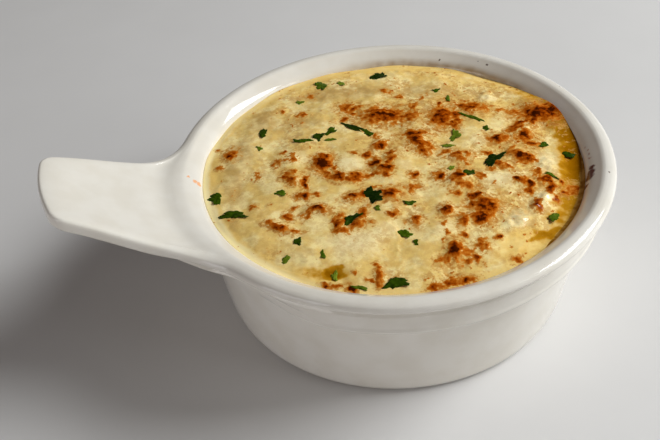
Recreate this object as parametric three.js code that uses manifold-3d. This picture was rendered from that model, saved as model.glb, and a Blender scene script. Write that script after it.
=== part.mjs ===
// Baked onion soup in a stoneware dish with one rising handle.
// Millimetres, +Z up. The foot ring stands on z = 0 and the handle points along -X.
import * as THREE from "three";
import * as BufferGeometryUtils from "three/addons/utils/BufferGeometryUtils.js";
import Module from "manifold-3d";

// ---------------------------------------------------------------- driving dimensions
const RIM_RADIUS = 70;          // widest line of the lip
const RIM_TOP = 49;             // crown of the lip above the table
const CROWN_RADIUS = 66.6;      // circle along the top of the lip
const NECK_CROWN_RADIUS = 70.1; // and where the handle starts

const HANDLE_REACH = 107;       // bowl axis to the handle's tip
const HANDLE_RISE = 19.5;       // the tip's top above the crown
const HANDLE_RISE_START = 62;   // distance from the bowl axis where it starts to climb
const HANDLE_TIP_SLOPE = 0.335; // slope of the handle's top at its tip
const HANDLE_DISHING = 0.8;     // hollow along the middle of the handle's top
const DISHING_START = [70, 84]; // distances from the bowl's axis over which the hollow deepens
const DISHING_END = [95, 104.5];  // and over which it fades towards the tip
const HANDLE_LIP = 3;           // flat left beside the hollow
const NECK_DIP = 0.7;           // share of the climb held back in the valley where the handle starts
const NECK_DIP_RADIUS = 70.5;
const NECK_DIP_REACH = 5.5;
const SIDE_TAPER = THREE.MathUtils.degToRad(13.3);
const SIDE_OFFSET = 39.6;       // bowl axis to the line of a handle side, square to that line
const TIP_CROWN_RADIUS = 60;    // slightly curved end of the handle
const TIP_CORNER_RADIUS = 6;
const NECK_RADIUS = 31;         // hollow curve from a handle side into the rim

const LIP_DEPTH = 3;            // crown to the lip's lower corner, on the rim
const HANDLE_DEPTH = 4.6;       // and to the handle's lower corner
const EDGE_CHANGE = [66, 82];   // distances from the bowl's axis where one section becomes the other
const EDGE_LEAN = 0.35;         // share of the top's slope by which the handle's edge leans out
const BAND_RADIUS = 66.75;      // rounded band under the lip, which fades out near the handle
const BEAD_RADIUS = 67;         // thin bead along the band's lower edge
const BEAD_HEIGHT = 36.2;
const BODY_TOP_RADIUS = 62.7;   // where the body meets the underside of the band
const BODY_TOP = 34.2;
const FOOT_INNER_RADIUS = 50;
const RECESS_HEIGHT = 1.4;      // hollow under the foot
const FLOOR_TOP = 6.5;          // inside of the dish's floor

const SOUP_LEVEL = 43;
const SOUP_RADIUS = 60.65;      // inside of the dish at that level
const FIT_GAP = 0.4;            // clearance of the food to what holds it
const CHEESE_RADIUS = 59.9;
const CHEESE_EDGE = 0.8;        // thickness of the melted layer at its edge
const CHEESE_DOME = 2.3;        // rise of its middle over its edge
const CRUST_CLIMB = 1.6;        // how far the crust climbs the wall away from the handle

const LEAF_PROUD = 0.5;         // parsley above the cheese
const LEAF_SUNK = 0.7;          // and below its surface

const RIM_STEPS = 56;           // facets of the rim clear of the handle
const SOUP_STEPS = 72;          // facets round the soup
const CHEESE_STEPS = 84;        // and round the cheese

// The object's box is centred on the origin, so the bowl's axis lies towards +X.
const BOWL_X = (HANDLE_REACH - RIM_RADIUS) / 2;

// ---------------------------------------------------------------- helpers
const mix = THREE.MathUtils.lerp;
const smooth = THREE.MathUtils.smoothstep;

// Repeatable draws between 0 and 1.
function seeded(seed) {
  let state = seed;
  return () => {
    state = (state * 1664525 + 1013904223) % 4294967296;
    return state / 4294967296;
  };
}

// Closed surface through rings of equally many points, each a list of [x, y, z],
// from a pole below to a pole at its other end. Rings run anticlockwise from above.
function ringSolid(lowPole, rings, highPole) {
  const steps = rings[0].length;
  const positions = [...lowPole, ...rings.flat(2), ...highPole];
  const vertex = (ring, step) => 1 + ring * steps + (step % steps);
  const last = 1 + rings.length * steps;
  const faces = [];
  for (let step = 0; step < steps; step += 1) {
    faces.push(0, vertex(0, step + 1), vertex(0, step));
    for (let ring = 0; ring + 1 < rings.length; ring += 1) {
      const a = vertex(ring, step);
      const b = vertex(ring, step + 1);
      const c = vertex(ring + 1, step + 1);
      const d = vertex(ring + 1, step);
      faces.push(a, b, c, a, c, d);
    }
    faces.push(last, vertex(rings.length - 1, step), vertex(rings.length - 1, step + 1));
  }
  const geometry = new THREE.BufferGeometry();
  geometry.setAttribute("position", new THREE.Float32BufferAttribute(positions, 3));
  geometry.setIndex(faces);
  return geometry;
}

function circleOf(radius, height, angles) {
  return angles.map((angle) => [radius * Math.cos(angle), radius * Math.sin(angle), height]);
}

// ---------------------------------------------------------------- plan of the rim and handle
// Worked out with the handle along +X from the bowl's axis, and turned round at the end.
const sideNormal = new THREE.Vector2(Math.sin(SIDE_TAPER), Math.cos(SIDE_TAPER));
const sideRun = new THREE.Vector2(Math.cos(SIDE_TAPER), -Math.sin(SIDE_TAPER));

// Centre of an arc that touches the handle's side line: the point on the line moved out by
// `shift` that is `distance` from (centreX, 0), on the tip's side.
function centreBesideSide(shift, centreX, distance) {
  const foot = sideNormal.clone().multiplyScalar(SIDE_OFFSET + shift);
  const across = foot.clone().sub(new THREE.Vector2(centreX, 0));
  const half = across.dot(sideRun);
  const run = -half + Math.sqrt(half * half - across.lengthSq() + distance * distance);
  return foot.addScaledVector(sideRun, run);
}

// Points of an arc with their outward normals; `outward` is -1 on a hollow curve.
function arcPoints(centre, radius, from, to, count, outward) {
  const points = [];
  for (let step = 0; step < count; step += 1) {
    const angle = mix(from, to, step / count);
    const ray = new THREE.Vector2(Math.cos(angle), Math.sin(angle));
    points.push({ at: centre.clone().addScaledVector(ray, radius), normal: ray.multiplyScalar(outward) });
  }
  return points;
}

// One half of the outline, from the middle of the tip to the far side of the rim.
function halfOutline() {
  const tipCentre = new THREE.Vector2(HANDLE_REACH - TIP_CROWN_RADIUS, 0);
  const corner = centreBesideSide(-TIP_CORNER_RADIUS, tipCentre.x, TIP_CROWN_RADIUS - TIP_CORNER_RADIUS);
  const neck = centreBesideSide(NECK_RADIUS, 0, RIM_RADIUS + NECK_RADIUS);
  const tipTurn = corner.clone().sub(tipCentre).angle();
  const rimTurn = neck.angle();
  const sideStart = corner.clone().addScaledVector(sideNormal, TIP_CORNER_RADIUS);
  const sideEnd = neck.clone().addScaledVector(sideNormal, -NECK_RADIUS);
  const sideSteps = 3;
  const side = [];
  for (let step = 0; step < sideSteps; step += 1) {
    side.push({ at: sideStart.clone().lerp(sideEnd, step / sideSteps), normal: sideNormal.clone() });
  }
  const origin = new THREE.Vector2();
  return [
    ...arcPoints(tipCentre, TIP_CROWN_RADIUS, 0, tipTurn, 2, 1),
    ...arcPoints(corner, TIP_CORNER_RADIUS, tipTurn, sideNormal.angle(), 4, 1),
    ...side,
    ...arcPoints(neck, NECK_RADIUS, sideNormal.angle() - Math.PI, rimTurn - Math.PI, 6, -1),
    ...arcPoints(origin, RIM_RADIUS, rimTurn, Math.PI, RIM_STEPS / 2, 1),
  ];
}

// The whole outline anticlockwise, each point with its outward normal and its angle.
function outline() {
  const half = halfOutline();
  const tail = [{ at: new THREE.Vector2(-RIM_RADIUS, 0), normal: new THREE.Vector2(-1, 0) }];
  const mirrored = half.slice(1).reverse().map(({ at, normal }) => (
    { at: new THREE.Vector2(at.x, -at.y), normal: new THREE.Vector2(normal.x, -normal.y) }));
  return [...half, ...tail, ...mirrored].map(({ at, normal }) => (
    { at: at.negate(), normal: normal.negate(), angle: Math.atan2(at.y, at.x) }));
}

// Height and slope of the rim's and handle's top at a plan position; the handle lies towards -x.
function topAt(x) {
  const run = HANDLE_REACH - HANDLE_RISE_START;
  const t = THREE.MathUtils.clamp((-x - HANDLE_RISE_START) / run, 0, 1.1);
  const endSlope = (HANDLE_TIP_SLOPE * run) / HANDLE_RISE;
  const height = RIM_TOP + HANDLE_RISE * (t * t * (3 - 2 * t) + endSlope * t * t * (t - 1));
  const slope = (HANDLE_RISE / run) * (6 * t * (1 - t) + endSlope * t * (3 * t - 2));
  return { height, slope };
}

// Depth of the shallow trough along the handle's top.
function troughDepth(x, y) {
  const halfWidth = (SIDE_OFFSET + x * Math.sin(SIDE_TAPER)) / Math.cos(SIDE_TAPER) - HANDLE_LIP;
  const across = Math.max(1 - (y / halfWidth) ** 2, 0);
  return HANDLE_DISHING * across * smooth(-x, ...DISHING_START) * (1 - smooth(-x, ...DISHING_END));
}

// 1 along the handle's middle line, falling to 0 where its neck joins the rim.
function handleSide(angle) {
  const offHandle = Math.PI - Math.abs(angle);
  return 1 - smooth(offHandle, THREE.MathUtils.degToRad(11), THREE.MathUtils.degToRad(31));
}

// Height of the rim's and handle's top, `share` of the way from the crown to the edge. The climb
// is held back by a bell curve in the radius, which leaves a valley round the rim.
function surfaceAt(x, y, share) {
  const out = (Math.hypot(x, y) - NECK_DIP_RADIUS) / NECK_DIP_REACH;
  const held = NECK_DIP * Math.exp(-out * out) * (1 - share ** 3);
  return RIM_TOP + (topAt(x).height - RIM_TOP) * (1 - held) - troughDepth(x, y);
}

// ---------------------------------------------------------------- dish
// Inside of the wall and floor: [radius, height] from the lip down to the floor. Its top is a
// conical shoulder.
const INNER_WALL = [
  [65.7, 48.75],
  [64.6, 48.0],
  [61.7, 45.6],
  [61.1, 44.6],
  [60.7, 43.2],
  [60.2, 40.5],
  [58.9, 35],
  [57.1, 26],
  [55.9, 17.5],
  [53.8, 11.2],
  [49.5, 7.7],
  [43.5, FLOOR_TOP],
];

// Its first points where the handle starts.
const NECK_WALL = [
  [67.0, 48.7],
  [64.6, 47.6],
];

// Outside of the body: [radius, height] from the foot ring up to the band.
const BODY_WALL = [
  [FOOT_INNER_RADIUS - 1.2, RECESS_HEIGHT],
  [FOOT_INNER_RADIUS, 0],
  [55.3, 0],
  [56.6, 0.7],
  [57.8, 3],
  [59.1, 10],
  [60.6, 20.5],
  [61.9, 29.5],
  [BODY_TOP_RADIUS, BODY_TOP],
];

// Lower part of the band: [radius, height].
const BAND = [
  [BEAD_RADIUS - 1.4, BEAD_HEIGHT - 1.6],
  [BEAD_RADIUS - 0.3, BEAD_HEIGHT - 0.9],
  [BEAD_RADIUS, BEAD_HEIGHT],
  [BAND_RADIUS, BEAD_HEIGHT + 1],
];

// Edge of the rim: [inset from the outline, depth under the top], from the band up over the lip.
const RIM_EDGE = [
  [3.35, 7.6],
  [3.95, 6.2],
  [3.9, 4.9],
  [1.3, LIP_DEPTH + 0.6],
  [0.3, LIP_DEPTH],
  [0.03, 2.2],
  [0.4, 1.1],
  [1.1, 0.5],
  [1.9, 0.17],
  [2.9, 0],
];

// Edge of the handle, line for line, from its underside up.
const HANDLE_EDGE = [
  [3.2, HANDLE_DEPTH + 0.5],
  [2.0, HANDLE_DEPTH + 0.4],
  [1.0, HANDLE_DEPTH + 0.2],
  [0.4, HANDLE_DEPTH - 0.2],
  [0.05, HANDLE_DEPTH - 1],
  [0, 1.8],
  [0.15, 0.9],
  [0.5, 0.35],
  [1.0, 0.08],
  [1.7, 0],
];

function dishGeometry() {
  const plan = outline();
  const angles = plan.map((point) => point.angle);
  // A line that follows the outline, in from it and down from the top surface. Along the neck it
  // passes from the rim's section to the handle's.
  const edgeRing = ([rimInset, rimDepth], line) => plan.map(({ at, normal }) => {
    const onHandle = smooth(-at.x, ...EDGE_CHANGE);
    const [handleInset, handleDepth] = HANDLE_EDGE[line];
    const inset = mix(rimInset, handleInset, onHandle);
    const depth = mix(rimDepth, handleDepth, onHandle);
    const x = at.x - normal.x * inset;
    const y = at.y - normal.y * inset;
    const { height, slope } = topAt(x);
    const drop = depth / Math.hypot(1, slope);
    return [x - EDGE_LEAN * slope * drop, y, height - drop];
  });
  // A ring part of the way between two others.
  const between = (from, to, share, height) => from.map((start, step) => {
    const x = mix(start[0], to[step][0], share);
    const y = mix(start[1], to[step][1], share);
    return [x, y, height(x, y, start[2], to[step][2])];
  });
  // The band is flush with the body under the handle and stands proud of it elsewhere.
  const bandRing = ([radius, height]) => plan.map(({ angle }) => {
    const offHandle = Math.PI - Math.abs(angle);
    const full = smooth(offHandle, THREE.MathUtils.degToRad(28), THREE.MathUtils.degToRad(55));
    const across = mix(BODY_TOP_RADIUS + 0.13 * (height - BODY_TOP), radius, full);
    return [across * Math.cos(angle), across * Math.sin(angle), height];
  });

  const body = BODY_WALL.map(([radius, height]) => circleOf(radius, height, angles));
  const band = BAND.map(bandRing);
  const edge = RIM_EDGE.map(edgeRing);
  const underside = [0.35, 0.7].map((share) => (
    between(band.at(-1), edge[0], share, (x, y, low, high) => mix(low, high, share ** 1.4))));
  const crown = angles.map((angle) => {
    const radius = mix(CROWN_RADIUS, NECK_CROWN_RADIUS, handleSide(angle));
    const x = radius * Math.cos(angle);
    const y = radius * Math.sin(angle);
    return [x, y, surfaceAt(x, y, 0)];
  });
  const top = [0.85, 0.68, 0.51, 0.34, 0.2, 0.09].map((share) => (
    between(crown, edge.at(-1), share, (x, y) => surfaceAt(x, y, share))));
  const inside = INNER_WALL.map(([radius, height], row) => angles.map((angle) => {
    const [neckRadius, neckHeight] = NECK_WALL[row] ?? [radius, height];
    const atHandle = handleSide(angle);
    const out = mix(radius, neckRadius, atHandle);
    return [out * Math.cos(angle), out * Math.sin(angle), mix(height, neckHeight, atHandle)];
  }));
  return ringSolid(
    [0, 0, RECESS_HEIGHT],
    [...body, ...band, ...underside, ...edge, ...top, crown, ...inside],
    [0, 0, FLOOR_TOP],
  );
}

// ---------------------------------------------------------------- soup
function soupGeometry() {
  const angles = Array.from({ length: SOUP_STEPS }, (_, step) => (2 * Math.PI * step) / SOUP_STEPS);
  const wet = INNER_WALL.filter(([, height]) => height < SOUP_LEVEL).reverse();
  const wall = wet.map(([radius, height], step) => (
    circleOf(radius - FIT_GAP, step === 0 ? height + FIT_GAP : height, angles)));
  return ringSolid(
    [0, 0, FLOOR_TOP + FIT_GAP],
    [...wall, circleOf(SOUP_RADIUS - FIT_GAP, SOUP_LEVEL, angles)],
    [0, 0, SOUP_LEVEL],
  );
}

// ---------------------------------------------------------------- cheese
// Main crags of the browned layer: [x, y, length, width, turn in degrees, height],
// measured from the bowl's axis.
const CRAGS = [
  [-21, 7.5, 8, 6, 75, 0.9],
  [-17, -3.5, 12, 5, -25, 0.8],
  [-5, -3, 8, 6, 80, 0.8],
  [0, 0, 7, 5, 45, 0.5],
  [-0.5, 9.5, 8, 5, 45, 0.7],
  [11.5, 5, 14, 6, -85, 0.8],
  [6.5, 24, 15, 8, -25, 0.9],
  [24.5, 16, 11, 8, 60, 0.8],
  [34, 17, 13, 6, -30, 0.7],
  [54.5, 5, 10, 7, 60, 0.8],
  [45, -2.5, 12, 6, 25, 0.8],
  [36, -3.5, 7, 5, 5, 0.7],
  [39, -14, 9, 5, -55, 0.9],
  [30, -16.5, 8, 4, -45, 0.7],
  [19.5, -8, 10, 6, -35, 0.6],
  [15.5, -18.5, 8, 6, 0, 0.8],
  [17, -32, 12, 8, 60, 1.1],
  [13.5, -38, 7, 5, -20, 0.8],
  [5.5, -31, 5, 5, 60, 0.9],
  [-4.5, -31, 4.5, 4.5, 0, 0.7],
  [8.5, -37, 7, 4, 55, 0.7],
  [1, -48, 8, 6, 65, 1.1],
  [9.5, -49, 7, 5, -25, 0.6],
  [33.5, -27, 9, 6, -25, 0.9],
  [40, -28, 8, 7, 60, 0.9],
  [32, -38, 6, 4, 75, 0.7],
  [-17, -14, 8, 5, 30, 0.7],
  [-7, -17.5, 6, 5, -30, 0.8],
  [-26, -25, 8, 5, 75, 0.7],
  [-20.5, -25.5, 8, 4, 40, 0.7],
  [-30, -15, 9, 5, -30, 0.7],
  [-43, -17.5, 11, 5, -45, 0.9],
  [-31.5, -7, 7, 4, -25, 0.6],
  [-32, 1.5, 8, 5, -85, 0.7],
  [-31, 12.5, 9, 6, -30, 0.5],
  [-23, -48.5, 6, 4, 70, 0.6],
];

// The edge of the cheese wanders a little, and is drawn back from the wall on one side.
function radiusOfCheese(angle) {
  const wander = 0.25 * Math.sin(5 * angle + 0.6) + 0.2 * Math.sin(11 * angle + 2);
  const drawnBack = 2.6 * Math.exp(-(((angle + 0.75) / 0.5) ** 2));
  return CHEESE_RADIUS + wander - drawnBack;
}

// Height of the cheese over the soup at (x, y) from the bowl's axis.
function cheeseHeight(x, y) {
  const angle = Math.atan2(y, x);
  const out = Math.min(Math.hypot(x, y) / radiusOfCheese(angle), 1);
  const climb = CRUST_CLIMB * Math.exp(-(((angle - 0.12) / 0.28) ** 2)) * smooth(out, 0.86, 0.97);
  const dome = CHEESE_EDGE + climb + CHEESE_DOME * (1 - out ** 3);
  const swell = 0.28 * Math.sin(0.17 * x + 1) * Math.cos(0.15 * y - 0.4)
    + 0.2 * Math.sin(0.29 * x - 0.21 * y);
  let crags = 0;
  for (const [cragX, cragY, length, width, turn, height] of CRAGS) {
    const bearing = THREE.MathUtils.degToRad(turn);
    const along = ((x - cragX) * Math.cos(bearing) + (y - cragY) * Math.sin(bearing)) / length;
    const across = ((y - cragY) * Math.cos(bearing) - (x - cragX) * Math.sin(bearing)) / width;
    crags += height * Math.exp(-5 * (along * along + across * across));
  }
  return dome + (swell + crags) * (1 - smooth(out, 0.86, 1));
}

function cheeseGeometry() {
  const angles = Array.from({ length: CHEESE_STEPS }, (_, step) => (2 * Math.PI * step) / CHEESE_STEPS);
  const base = SOUP_LEVEL + FIT_GAP;
  const ringAt = (share, height) => angles.map((angle) => {
    const radius = share * radiusOfCheese(angle);
    const x = radius * Math.cos(angle);
    const y = radius * Math.sin(angle);
    return [x, y, base + height(x, y)];
  });
  const inner = Array.from({ length: 14 }, (_, step) => 0.84 - 0.06 * step);
  const shares = [0.985, 0.95, 0.9, ...inner];
  return ringSolid(
    [0, 0, base],
    [
      ringAt(0.985, () => 0),
      ringAt(1, () => CHEESE_EDGE * 0.35),
      ...shares.map((share) => ringAt(share, cheeseHeight)),
    ],
    [0, 0, base + cheeseHeight(0, 0)],
  );
}

// ---------------------------------------------------------------- parsley
// Chopped leaves and shreds on the cheese: [x, y, length, width, turn in degrees],
// measured from the bowl's axis.
const PARSLEY = [
  [-34, 32, 5, 2.8, 70],
  [-23.5, 21.5, 6.5, 2.2, -35],
  [-17.5, 21, 4.5, 3.2, 60],
  [-13, 22.5, 5.5, 2.6, 40],
  [-14.5, 18, 3.5, 1.6, -25],
  [-5.5, 22, 9, 2.4, -55],
  [-2, 16.5, 5, 2.4, -75],
  [-6.5, 53.5, 6.5, 4, 85],
  [0.5, 51, 3.5, 2.6, 75],
  [15, 51, 6, 4.6, 40],
  [29.5, 32, 3.2, 2.2, 55],
  [31, 25.5, 4.4, 1.6, 60],
  [33.5, 11, 9, 1.8, -57],
  [35, 3.5, 2.6, 2.2, 60],
  [24, 4, 6.5, 3, 55],
  [19.5, -0.5, 4.6, 1.8, -18],
  [30, -13, 10, 3.8, 28],
  [15.5, -12.5, 2.4, 1.8, 65],
  [19.5, -17, 3.8, 3, 27],
  [-12, -16, 7.4, 5, 80],
  [-13, -22, 2.8, 1.6, -83],
  [-21.5, -23.5, 7, 3, 33],
  [-3, -23, 3.6, 2.2, -24],
  [-9.5, -35.5, 4.2, 3.2, -25],
  [-8, -40, 2.8, 1.4, -89],
  [-54, -6, 8.5, 3.6, -30],
  [-57.5, 4.5, 5.6, 3.8, -77],
  [-38, -3, 4, 2.4, -21],
  [-37.5, 24, 2.6, 1.8, 84],
  [-39.5, -26, 3.4, 2.4, -84],
  [-45, -31.5, 3.6, 2, 48],
  [-34.5, -34.5, 3.6, 1.4, 81],
  [-34, -43.5, 4, 1.8, 63],
  [-19, -53, 7, 3.8, -2],
  [-29, -50.5, 4.8, 1.4, -37],
  [48.5, -11, 3.6, 2.2, 23],
  [53.5, -18.5, 3.8, 3, -9],
  [43, -26.5, 5, 1.6, -61],
  [34.5, -44, 4.2, 2.6, 50],
  [-16.5, 46, 2.8, 2.4, -47],
];
const LEAF_CORNERS = 7;

// A thin wavy solid whose two faces follow the cheese, one above it and one below.
function leafGeometry([x, y, length, width, turn], random) {
  const bearing = THREE.MathUtils.degToRad(turn);
  const phase = random() * 2 * Math.PI;
  const outlineAt = (corner) => {
    const angle = (2 * Math.PI * corner) / LEAF_CORNERS;
    const lobe = 0.82 + 0.18 * Math.cos(3 * angle + phase) + 0.12 * (random() - 0.5);
    const along = (length / 2) * lobe * Math.cos(angle);
    const across = (width / 2) * lobe * Math.sin(angle);
    return [
      x + along * Math.cos(bearing) - across * Math.sin(bearing),
      y + along * Math.sin(bearing) + across * Math.cos(bearing),
    ];
  };
  const corners = Array.from({ length: LEAF_CORNERS }, (_, corner) => outlineAt(corner));
  const base = SOUP_LEVEL + FIT_GAP;
  const wave = corners.map((_, corner) => 0.2 * Math.sin(2.3 * corner + phase));
  const lift = ([cornerX, cornerY], offset) => (
    [cornerX, cornerY, base + cheeseHeight(cornerX, cornerY) + offset]);
  return ringSolid(
    lift([x, y], -LEAF_SUNK),
    [
      corners.map((corner) => lift(corner, -LEAF_SUNK)),
      corners.map((corner, step) => lift(corner, LEAF_PROUD * 0.5 + wave[step])),
    ],
    lift([x, y], LEAF_PROUD),
  );
}

// ---------------------------------------------------------------- joining
const wasm = await Module();
wasm.setup();

function toManifold(geometry) {
  const merged = BufferGeometryUtils.mergeVertices(geometry);
  const vertProperties = new Float32Array(merged.attributes.position.array);
  const triVerts = new Uint32Array(merged.index.array);
  return new wasm.Manifold(new wasm.Mesh({ numProp: 3, vertProperties, triVerts }));
}

function toGeometry(solid) {
  const { vertProperties, triVerts } = solid.getMesh();
  const geometry = new THREE.BufferGeometry();
  geometry.setAttribute("position", new THREE.Float32BufferAttribute(vertProperties, 3));
  geometry.setIndex(new THREE.Uint32BufferAttribute(triVerts, 1));
  return geometry;
}

// The cheese with its parsley fused on, as one solid.
function toppedCheeseGeometry() {
  const random = seeded(7);
  let solid = toManifold(cheeseGeometry());
  for (const leaf of PARSLEY) {
    solid = solid.add(toManifold(leafGeometry(leaf, random)));
  }
  return toGeometry(solid);
}

// ---------------------------------------------------------------- materials and scene graph
const GLAZE = new THREE.MeshStandardMaterial({ color: "#e6dfd3", roughness: 0.2, metalness: 0 });
const BROTH = new THREE.MeshStandardMaterial({ color: "#a8741f", roughness: 0.25, metalness: 0 });
const CHEESE = new THREE.MeshStandardMaterial({ color: "#e2c98a", roughness: 0.45, metalness: 0 });

function part(name, geometry, material) {
  const mesh = new THREE.Mesh(geometry, material);
  mesh.name = name;
  return mesh;
}

const soupDish = new THREE.Group();
soupDish.position.x = BOWL_X;
soupDish.add(
  part("bowl", dishGeometry(), GLAZE),
  part("soup", soupGeometry(), BROTH),
  part("cheese", toppedCheeseGeometry(), CHEESE),
);

export default soupDish;
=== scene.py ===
# %% [markdown]
# # Onion soup in a dish with one handle
#
# A round stoneware dish is filled to just under its lip with soup, and a layer of melted,
# browned cheese covers it, with chopped parsley on top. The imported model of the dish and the
# food is loaded first and never moved. Everything below is a finer surface around it.

# %% Load the frame
import math

import bpy
import numpy as np
from mathutils import Matrix, Vector


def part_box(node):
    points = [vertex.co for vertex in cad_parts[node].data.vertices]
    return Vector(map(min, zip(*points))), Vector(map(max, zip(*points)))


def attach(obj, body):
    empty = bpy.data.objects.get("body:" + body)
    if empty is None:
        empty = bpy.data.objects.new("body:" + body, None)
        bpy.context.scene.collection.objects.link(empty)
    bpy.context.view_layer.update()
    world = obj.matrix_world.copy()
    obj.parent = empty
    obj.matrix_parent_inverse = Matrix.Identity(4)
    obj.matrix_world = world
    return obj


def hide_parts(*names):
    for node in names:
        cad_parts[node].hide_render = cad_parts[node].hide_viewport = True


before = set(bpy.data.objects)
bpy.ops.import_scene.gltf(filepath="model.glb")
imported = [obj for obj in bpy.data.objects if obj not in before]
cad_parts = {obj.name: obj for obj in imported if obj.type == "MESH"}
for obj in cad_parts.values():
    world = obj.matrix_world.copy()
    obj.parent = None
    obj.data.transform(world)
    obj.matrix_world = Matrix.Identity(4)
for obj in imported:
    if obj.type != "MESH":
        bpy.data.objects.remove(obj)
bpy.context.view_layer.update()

print("solids:", ", ".join(sorted(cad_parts)))

# %% [markdown]
# The model's numbers are in metres, but a dish is easier to think about in millimetres from
# the bowl's own axis. So every shape below is worked out that way, and `in_frame` turns it
# into metres in the frame. The soup's box is centred on the bowl's axis, which gives its place.

# %% Sizes of the dish, in millimetres
MM = 0.001
soup_low, soup_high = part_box("soup")
AXIS_X = (soup_low[0] + soup_high[0]) / 2
SOUP_LEVEL = round(soup_high[2] / MM, 2)

RIM_RADIUS = 70.0           # widest line of the lip
RIM_TOP = 49.0              # crown of the lip above the table
CROWN_RADIUS = 66.6         # circle along the top of the lip
NECK_CROWN_RADIUS = 70.1    # and where the handle starts
HANDLE_REACH = 107.0        # bowl axis to the handle's tip
HANDLE_RISE = 19.5          # the tip's top above the crown
HANDLE_RISE_START = 62.0    # distance from the axis where it starts to climb
HANDLE_TIP_SLOPE = 0.335
HANDLE_DISHING = 0.8        # hollow along the middle of the handle's top
NECK_DIP = 0.7              # share of the climb held back in the valley where the handle starts
NECK_DIP_RADIUS = 70.5
NECK_DIP_REACH = 5.5
SIDE_TAPER = math.radians(13.3)
SIDE_OFFSET = 39.6          # axis to the line of a handle side, square to that line
TIP_CROWN_RADIUS = 60.0     # slightly curved end of the handle
TIP_CORNER_RADIUS = 6.0
NECK_RADIUS = 31.0          # hollow curve from a handle side into the rim
LIP_DEPTH = 3.0             # crown to the lip's lower corner, on the rim
HANDLE_DEPTH = 4.6          # and to the handle's lower corner
EDGE_LEAN = 0.35            # share of the top's slope by which the handle's edge leans out
BAND_RADIUS = 66.75         # rounded band round the rim, under the lip
BEAD_RADIUS = 67.0          # thin bead along the band's lower edge
BEAD_HEIGHT = 36.2
BODY_TOP_RADIUS = 62.7
BODY_TOP = 34.2
FOOT_INNER_RADIUS = 50.0
RECESS_HEIGHT = 1.4
FLOOR_TOP = 6.5
FIT_GAP = 0.4               # clearance of the food solids to what holds them

# Stretches over which one form passes into another: distances towards the handle, or degrees
# off the handle's middle line.
HANDLE_EDGE_SETS_IN = (66, 82)
HOLLOW_SETS_IN = (70, 84)
HOLLOW_RUNS_OUT = (95, 104.5)
HOLLOW_MARGIN = 3           # left level at each side of it
NECK_BEARINGS = (11, 31)
BAND_BEARINGS = (28, 55)
BODY_FLARE = 0.13           # slope of the body's wall where the band rises out of it


def in_frame(x, y, z):
    """Points in metres in the frame, from millimetres about the bowl's axis."""
    return np.stack([np.asarray(x) * MM + AXIS_X, np.asarray(y) * MM, np.asarray(z) * MM], axis=-1)


print("bowl axis at x = %.4f m, soup level %.1f mm" % (AXIS_X, SOUP_LEVEL))

# %% [markdown]
# Real surfaces are never perfectly even. Gradient noise gives a soft random field: each corner
# of a square lattice gets a random slope, and the four slopes around a point are blended. Adding
# it up at smaller and smaller sizes gives lumps on lumps, as melted cheese has.


# %% Random fields
def ease(value, low, high):
    """0 below low, 1 above high, and 3t^2 - 2t^3 between them."""
    t = np.clip((value - low) / (high - low), 0, 1)
    return t * t * (3 - 2 * t)


def noise(x, y, size, seed):
    """Gradient noise of about -1 to 1 with lattice squares of `size` millimetres."""
    x = np.asarray(x, float) / size
    y = np.asarray(y, float) / size
    angles = np.random.default_rng(seed).uniform(0, 2 * np.pi, (256, 256))
    left = np.floor(x).astype(int)
    low = np.floor(y).astype(int)
    across = x - left
    up = y - low

    def corner(step_x, step_y):
        angle = angles[(left + step_x) % 256, (low + step_y) % 256]
        return np.cos(angle) * (across - step_x) + np.sin(angle) * (up - step_y)

    blend_x = across ** 3 * (across * (6 * across - 15) + 10)
    blend_y = up ** 3 * (up * (6 * up - 15) + 10)
    below = corner(0, 0) * (1 - blend_x) + corner(1, 0) * blend_x
    above = corner(0, 1) * (1 - blend_x) + corner(1, 1) * blend_x
    return 1.4 * (below * (1 - blend_y) + above * blend_y)


def lumps(x, y, size, seed, octaves=3):
    """Noise plus half as much at half the size, and so on."""
    return sum(noise(x, y, size / 2 ** k, seed + k) / 2 ** k for k in range(octaves))


sample = noise(np.arange(999.0), 3.3, 7, 1)
print("noise spans %.2f to %.2f" % (sample.min(), sample.max()))

# %% [markdown]
# A surface here is a grid of points: rows along a profile, columns around the dish. Neighbouring
# points make four-sided faces, the last column joins the first, and a single point closes each
# end. Numbers that vary over the surface, such as how browned it is, go in as point attributes
# that a material can read.


# %% From grids of points to meshes
def grid_faces(rows, columns, first=0, around=True):
    """Quads of a grid whose rows run anticlockwise seen from outside its upper end."""
    index = first + np.arange(rows * columns).reshape(rows, columns)
    if around:
        index = np.concatenate([index, index[:, :1]], axis=1)
    corners = [index[:-1, :-1], index[:-1, 1:], index[1:, 1:], index[1:, :-1]]
    return np.stack(corners, axis=-1).reshape(-1, 4)


def fan_faces(ring, pole, upper):
    """Triangles from a ring of point numbers to one point; `upper` when the ring lies below it."""
    following = np.roll(ring, -1)
    pair = (ring, following) if upper else (following, ring)
    return np.stack([*pair, np.full(len(ring), pole)], axis=-1)


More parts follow.
